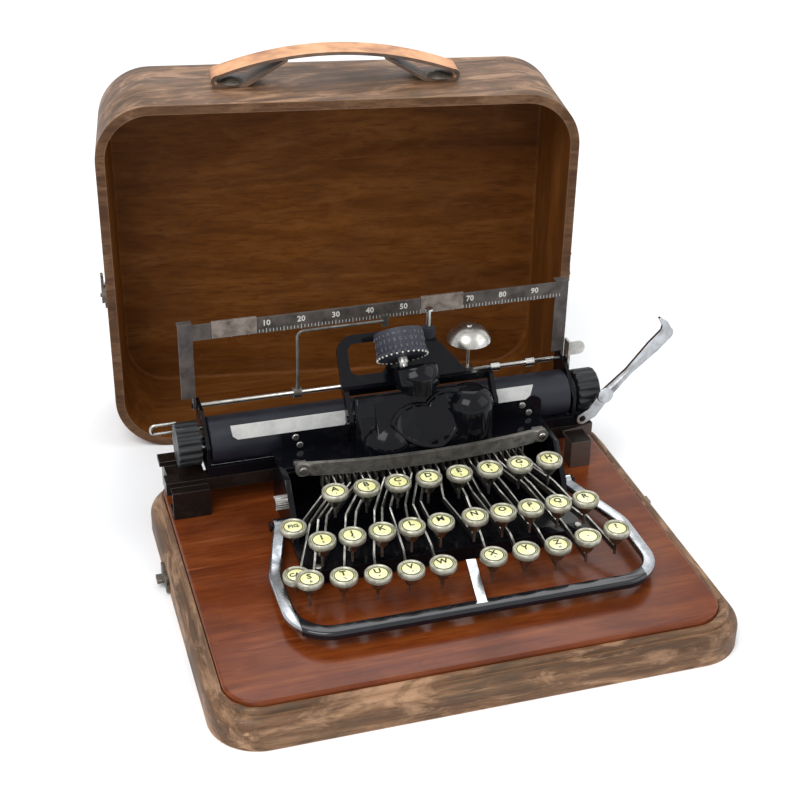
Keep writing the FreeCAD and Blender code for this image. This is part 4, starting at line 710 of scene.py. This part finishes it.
keyLook = {
    "radius": 0.0092, "cardRadius": 0.0073, "cardDepth": 0.0005, "lip": 0.0011, "lipLow": 0.4, "lipHigh": 0.9,
    "lipIn": 0.0005, "lipOut": 0.0006, "wellDepth": 0.0006, "cup": 0.0034, "cupRound": 0.0005, "dome": 0.0005,
    "domeSteps": ((0, 1), (0.5, 0.8), (0.8, 0.4), (1, 0)),  # share of the card's radius and of the dome
    "lineRadius": 0.0064, "lineWidth": 0.00030, "lineLevel": 0.62, "lineDepth": 0.0003, "lineSlope": 0.00003,
    "letter": 0.0070, "letterUp": 0.0018, "mark": 0.0036, "markDown": 0.0034, "word": 0.0052, "bold": 0.022,
    "inkLevel": 0.00005, "inkDepth": 0.00008, "markSink": 0.0001, "cupHeight": 0.0155, "cupSpan": 0.0181,
    "rimSpan": 0.0001,
}
lowerMarks = "1234567890-:;,'()/&%+=!*.#"
namedKeys = {"key_figures": ("FIG", ""), "key_capitals": ("CAP", ""), "key_stop": (".", ","),
             "key_query": ("?", ";")}


def keyCentre(node):
    # middle and top of the cup, which is the foremost part of the key
    points = [vertex.co for vertex in cad[node].data.vertices]
    front = min(point.y for point in points)
    cup = [point for point in points if point.y < front + keyLook["cupSpan"]]
    top = max(point.z for point in cup)
    rim = [point for point in cup if point.z > top - keyLook["rimSpan"]]
    x = (min(point.x for point in rim) + max(point.x for point in rim)) / 2
    y = (min(point.y for point in rim) + max(point.y for point in rim)) / 2
    return Vector((x, y, top))


def keyLegend(name):
    letter = name[-1]
    return namedKeys.get(name) or (letter.upper(), lowerMarks[ord(letter) - ord("a")])


def keyProfiles():
    # lip and cup, card, and the line printed round the card, as (radius, height) pairs
    look = keyLook
    radius, card, lip = look["radius"], look["cardRadius"], look["lip"]
    foot, dome = -look["cup"], look["dome"]
    lowLip, highLip = lip * look["lipLow"], lip * look["lipHigh"]
    cup = [(card, -look["wellDepth"]), (card, lowLip), (card + look["lipIn"], highLip),
           (radius - look["lipOut"], lip), (radius, lowLip), (radius, foot + look["lipOut"]),
           (radius - look["cupRound"], foot), (card, foot)]
    top = [(card * across, dome * up) for across, up in look["domeSteps"]]
    top += [(card, -look["cardDepth"]), (0, -look["cardDepth"])]
    inner, outer = look["lineRadius"] - look["lineWidth"], look["lineRadius"] + look["lineWidth"]
    high = dome * look["lineLevel"]
    low = high - look["lineDepth"]
    return cup, top, [(inner, low), (inner, high), (outer, high - look["lineSlope"]), (outer, low)]


def keyDress(node):
    look = keyLook
    place = Matrix.Translation(keyCentre(node))
    bm = bmesh.new()
    for finishIndex, profile in enumerate(keyProfiles()):
        addLathe(bm, profile, finishIndex, place)
    upper, lower = keyLegend(node)
    upperSize = look["word"] if len(upper) > 1 else look["letter"]
    rise = 0.0 if len(upper) > 1 else look["letterUp"]
    level = look["dome"] + look["inkLevel"]
    upperPlace = place @ Matrix.Translation((0, rise, level))
    addMesh(bm, wordMesh(upper, upperSize, look["inkDepth"], look["bold"]), upperPlace, 2)
    if lower:
        lowerPlace = place @ Matrix.Translation((0, -look["markDown"], level - look["markSink"]))
        addMesh(bm, wordMesh(lower, look["mark"], look["inkDepth"]), lowerPlace, 2)
    mesh = finishMesh(bm, "top_" + node, ["keyRim", "keyCard", "legendBlack"])
    return showPiece("top_" + node, mesh, bodyOf[node])


def pickKey(centre):
    def pick(face):
        middle = face.calc_center_median()
        flat = math.hypot(middle.x - centre.x, middle.y - centre.y)
        return 1 if flat < keyLook["radius"] and middle.z > centre.z - keyLook["cupHeight"] else 0
    return pick


keyNodes = sorted(node for node in cad if node.startswith("key_"))
for node in keyNodes:
    dressNode(node, ["leverSteel", "keyMetal"], pickKey(keyCentre(node)), 35)
    keyDress(node)
print("keys dressed", len(keyNodes))


# line scale: graduations and figures

scaleLook = {
    "first": -0.1133, "step": 0.00254, "count": 99, "longEvery": 5, "long": 1.5, "front": 0.1180,
    "figureEvery": 10, "markLevel": 0.1496, "markSize": (0.00034, 0.0003, 0.0023), "figure": 0.0060,
    "figureLevel": 0.1555, "figureDepth": 0.0001, "bold": 0.02,
}


def dressScale():
    look = scaleLook
    values = {"Count": look["count"], "Start": (look["first"], look["front"], look["markLevel"]),
              "Step": (look["step"], 0, 0), "Size": look["markSize"],
              "Every": look["longEvery"], "Long": look["long"], "Finish": finishes["palePaint"]}
    marks = growMesh(markRow, values, "scale_marks")
    showPiece("scale_marks", marks, "scale_frame")
    bm = bmesh.new()
    upright = Matrix.Rotation(math.radians(90), 4, "X")
    for number in range(look["figureEvery"], look["count"] + 1, look["figureEvery"]):
        x = look["first"] + look["step"] * number
        place = Matrix.Translation((x, look["front"] - look["figureDepth"], look["figureLevel"])) @ upright
        addMesh(bm, wordMesh(str(number), look["figure"], look["figureDepth"], look["bold"]), place, 0)
    showPiece("scale_figures", finishMesh(bm, "scale_figures", ["palePaint"]), "scale_frame")


dressScale()
print("scale marked")


# type wheel: rows of raised characters and a bright beaded rim

wheelLook = {
    "foot": Vector((-0.0015, 0.0700, 0.1410)), "lean": 41.0, "radius": 0.0175, "rows": 3, "capitals": 1,
    "columns": 28, "stride": 5, "shift": 11, "firstRow": 0.0050, "rowStep": 0.0048, "size": 0.0032,
    "relief": 0.00025,
    "rim": 0.0180, "rimDrop": 0.0001, "ball": 0.00075,
}
wheelCharacters = "abcdefghijklmnopqrstuvwxyz.,"


def wheelFrame():
    return Matrix.Translation(wheelLook["foot"]) @ Matrix.Rotation(math.radians(-wheelLook["lean"]), 4, "X")


def dressWheel():
    look = wheelLook
    shapes = {}
    bm = bmesh.new()
    for row in range(look["rows"]):
        for column in range(look["columns"]):
            number = (column * look["stride"] + row * look["shift"]) % len(wheelCharacters)
            letter = wheelCharacters[number]
            letter = letter.upper() if row == look["capitals"] else letter
            if letter not in shapes:
                shapes[letter] = wordMesh(letter, look["size"], look["relief"])
            around = Matrix.Rotation(math.radians(360.0 * column / look["columns"]), 4, "Z")
            out = Matrix.Translation((0, -look["radius"], look["firstRow"] + look["rowStep"] * row))
            place = wheelFrame() @ around @ out @ Matrix.Rotation(math.radians(90), 4, "X")
            addMesh(bm, shapes[letter], place, 0)
    letters = finishMesh(bm, "wheel_characters", ["wheelType"])
    showPiece("wheel_characters", letters, "type_wheel")
    beads = growMesh(ballRing, {"Count": look["columns"], "Radius": look["rim"], "Ball": look["ball"],
                                "Finish": finishes["palePaint"]}, "wheel_beads")
    beads.transform(wheelFrame() @ Matrix.Translation((0, 0, -look["rimDrop"])))
    showPiece("wheel_beads", beads, "type_wheel")


dressWheel()
print("type wheel dressed")


# floor, lights and camera

studioLook = {
    "floorSize": 12, "floor": (0.86, 0.88, 0.90), "floorLift": 0.02, "floorRough": 0.85,
    "seenFloor": (1.0, 1.0, 1.0), "world": 0.72, "worldColour": (0.93, 0.96, 1.0), "seenWorld": 1.0,
    "seenColour": (0.985, 0.99, 1.0), "aim": (0, 0.05, 0.08),
}
lampLook = {
    "keyLamp": {"power": 26.0, "size": 1.2, "place": (-0.9, -0.9, 1.7)},
    "fillLamp": {"power": 9.0, "size": 1.5, "place": (1.5, -0.7, 1.1)},
    "rearLamp": {"power": 10.0, "size": 1.2, "place": (0.4, 1.3, 1.7)},
}


def highest(tree, first, second):
    node = tree.nodes.new("ShaderNodeMath")
    node.operation = "MAXIMUM"
    tree.links.new(first, node.inputs[0])
    tree.links.new(second, node.inputs[1])
    return node.outputs[0]


def buildFloor():
    # white to the camera, a little grey to the light that bounces off it
    look = studioLook
    bpy.ops.mesh.primitive_plane_add(size=look["floorSize"], location=(0, 0, 0))
    floor = bpy.context.object
    floor.name = "floor"
    material, tree, shader, coords = startFinish("floorPaint")
    rays = tree.nodes.new("ShaderNodeLightPath")
    seen = highest(tree, rays.outputs["Is Camera Ray"], rays.outputs["Is Transmission Ray"])
    fine = noiseOn(tree, coords, 3.0, 2.0, 0.5)
    lifted = tuple(min(1, part + look["floorLift"]) for part in look["floor"])
    near = rampOn(tree, fine, [(0.3, look["floor"]), (0.7, lifted)])
    feed(tree, shader.inputs["Base Color"], mixOn(tree, seen, near, look["seenFloor"]))
    shader.inputs["Roughness"].default_value = look["floorRough"]
    floor.data.materials.append(material)


def backgroundOn(tree, colour, strength):
    node = tree.nodes.new("ShaderNodeBackground")
    node.inputs["Color"].default_value = (*colour, 1)
    node.inputs["Strength"].default_value = strength
    return node.outputs[0]


def buildWorld():
    # soft light, and white where the camera, a mirror or a glass looks
    look = studioLook
    world = bpy.data.worlds.new("studio")
    bpy.context.scene.world = world
    world.use_nodes = True
    tree = world.node_tree
    for node in list(tree.nodes):
        tree.nodes.remove(node)
    soft = backgroundOn(tree, look["worldColour"], look["world"])
    white = backgroundOn(tree, look["seenColour"], look["seenWorld"])
    rays = tree.nodes.new("ShaderNodeLightPath")
    mirrored = highest(tree, rays.outputs["Is Glossy Ray"], rays.outputs["Is Transmission Ray"])
    blend = tree.nodes.new("ShaderNodeMixShader")
    tree.links.new(highest(tree, rays.outputs["Is Camera Ray"], mirrored), blend.inputs[0])
    tree.links.new(soft, blend.inputs[1])
    tree.links.new(white, blend.inputs[2])
    out = tree.nodes.new("ShaderNodeOutputWorld")
    tree.links.new(blend.outputs[0], out.inputs["Surface"])


def hangLamps():
    for name, look in lampLook.items():
        lamp = bpy.data.lights.new(name, "AREA")
        lamp.energy = look["power"]
        lamp.size = look["size"]
        holder = bpy.data.objects.new(name, lamp)
        bpy.context.scene.collection.objects.link(holder)
        holder.location = look["place"]
        aim = Vector(studioLook["aim"]) - Vector(look["place"])
        holder.rotation_euler = aim.to_track_quat("-Z", "Y").to_euler()


cameraLook = {"place": (-0.2844, -0.8328, 0.6528), "yaw": 17.33, "pitch": 30.02, "roll": 1.09, "lens": 69.0,
              "sensor": 36.0, "nearest": 0.01}


def buildCamera():
    look = cameraLook
    yaw, pitch, roll = (math.radians(look[key]) for key in ("yaw", "pitch", "roll"))
    ahead = Vector((math.sin(yaw) * math.cos(pitch), math.cos(yaw) * math.cos(pitch), -math.sin(pitch)))
    side = Vector((math.cos(yaw), -math.sin(yaw), 0))
    up = side.cross(ahead)
    rolledSide = side * math.cos(roll) + up * math.sin(roll)
    rolledUp = up * math.cos(roll) - side * math.sin(roll)
    camera = bpy.data.cameras.new("camera")
    camera.lens = look["lens"]
    camera.sensor_width = look["sensor"]
    camera.clip_start = look["nearest"]
    holder = bpy.data.objects.new("camera", camera)
    bpy.context.scene.collection.objects.link(holder)
    rotation = Matrix((rolledSide, rolledUp, -ahead)).transposed().to_4x4()
    holder.matrix_world = Matrix.Translation(Vector(look["place"])) @ rotation
    bpy.context.scene.camera = holder


buildFloor()
buildWorld()
hangLamps()
buildCamera()
bpy.context.scene.view_settings.view_transform = "Standard"
print("studio and camera ready")
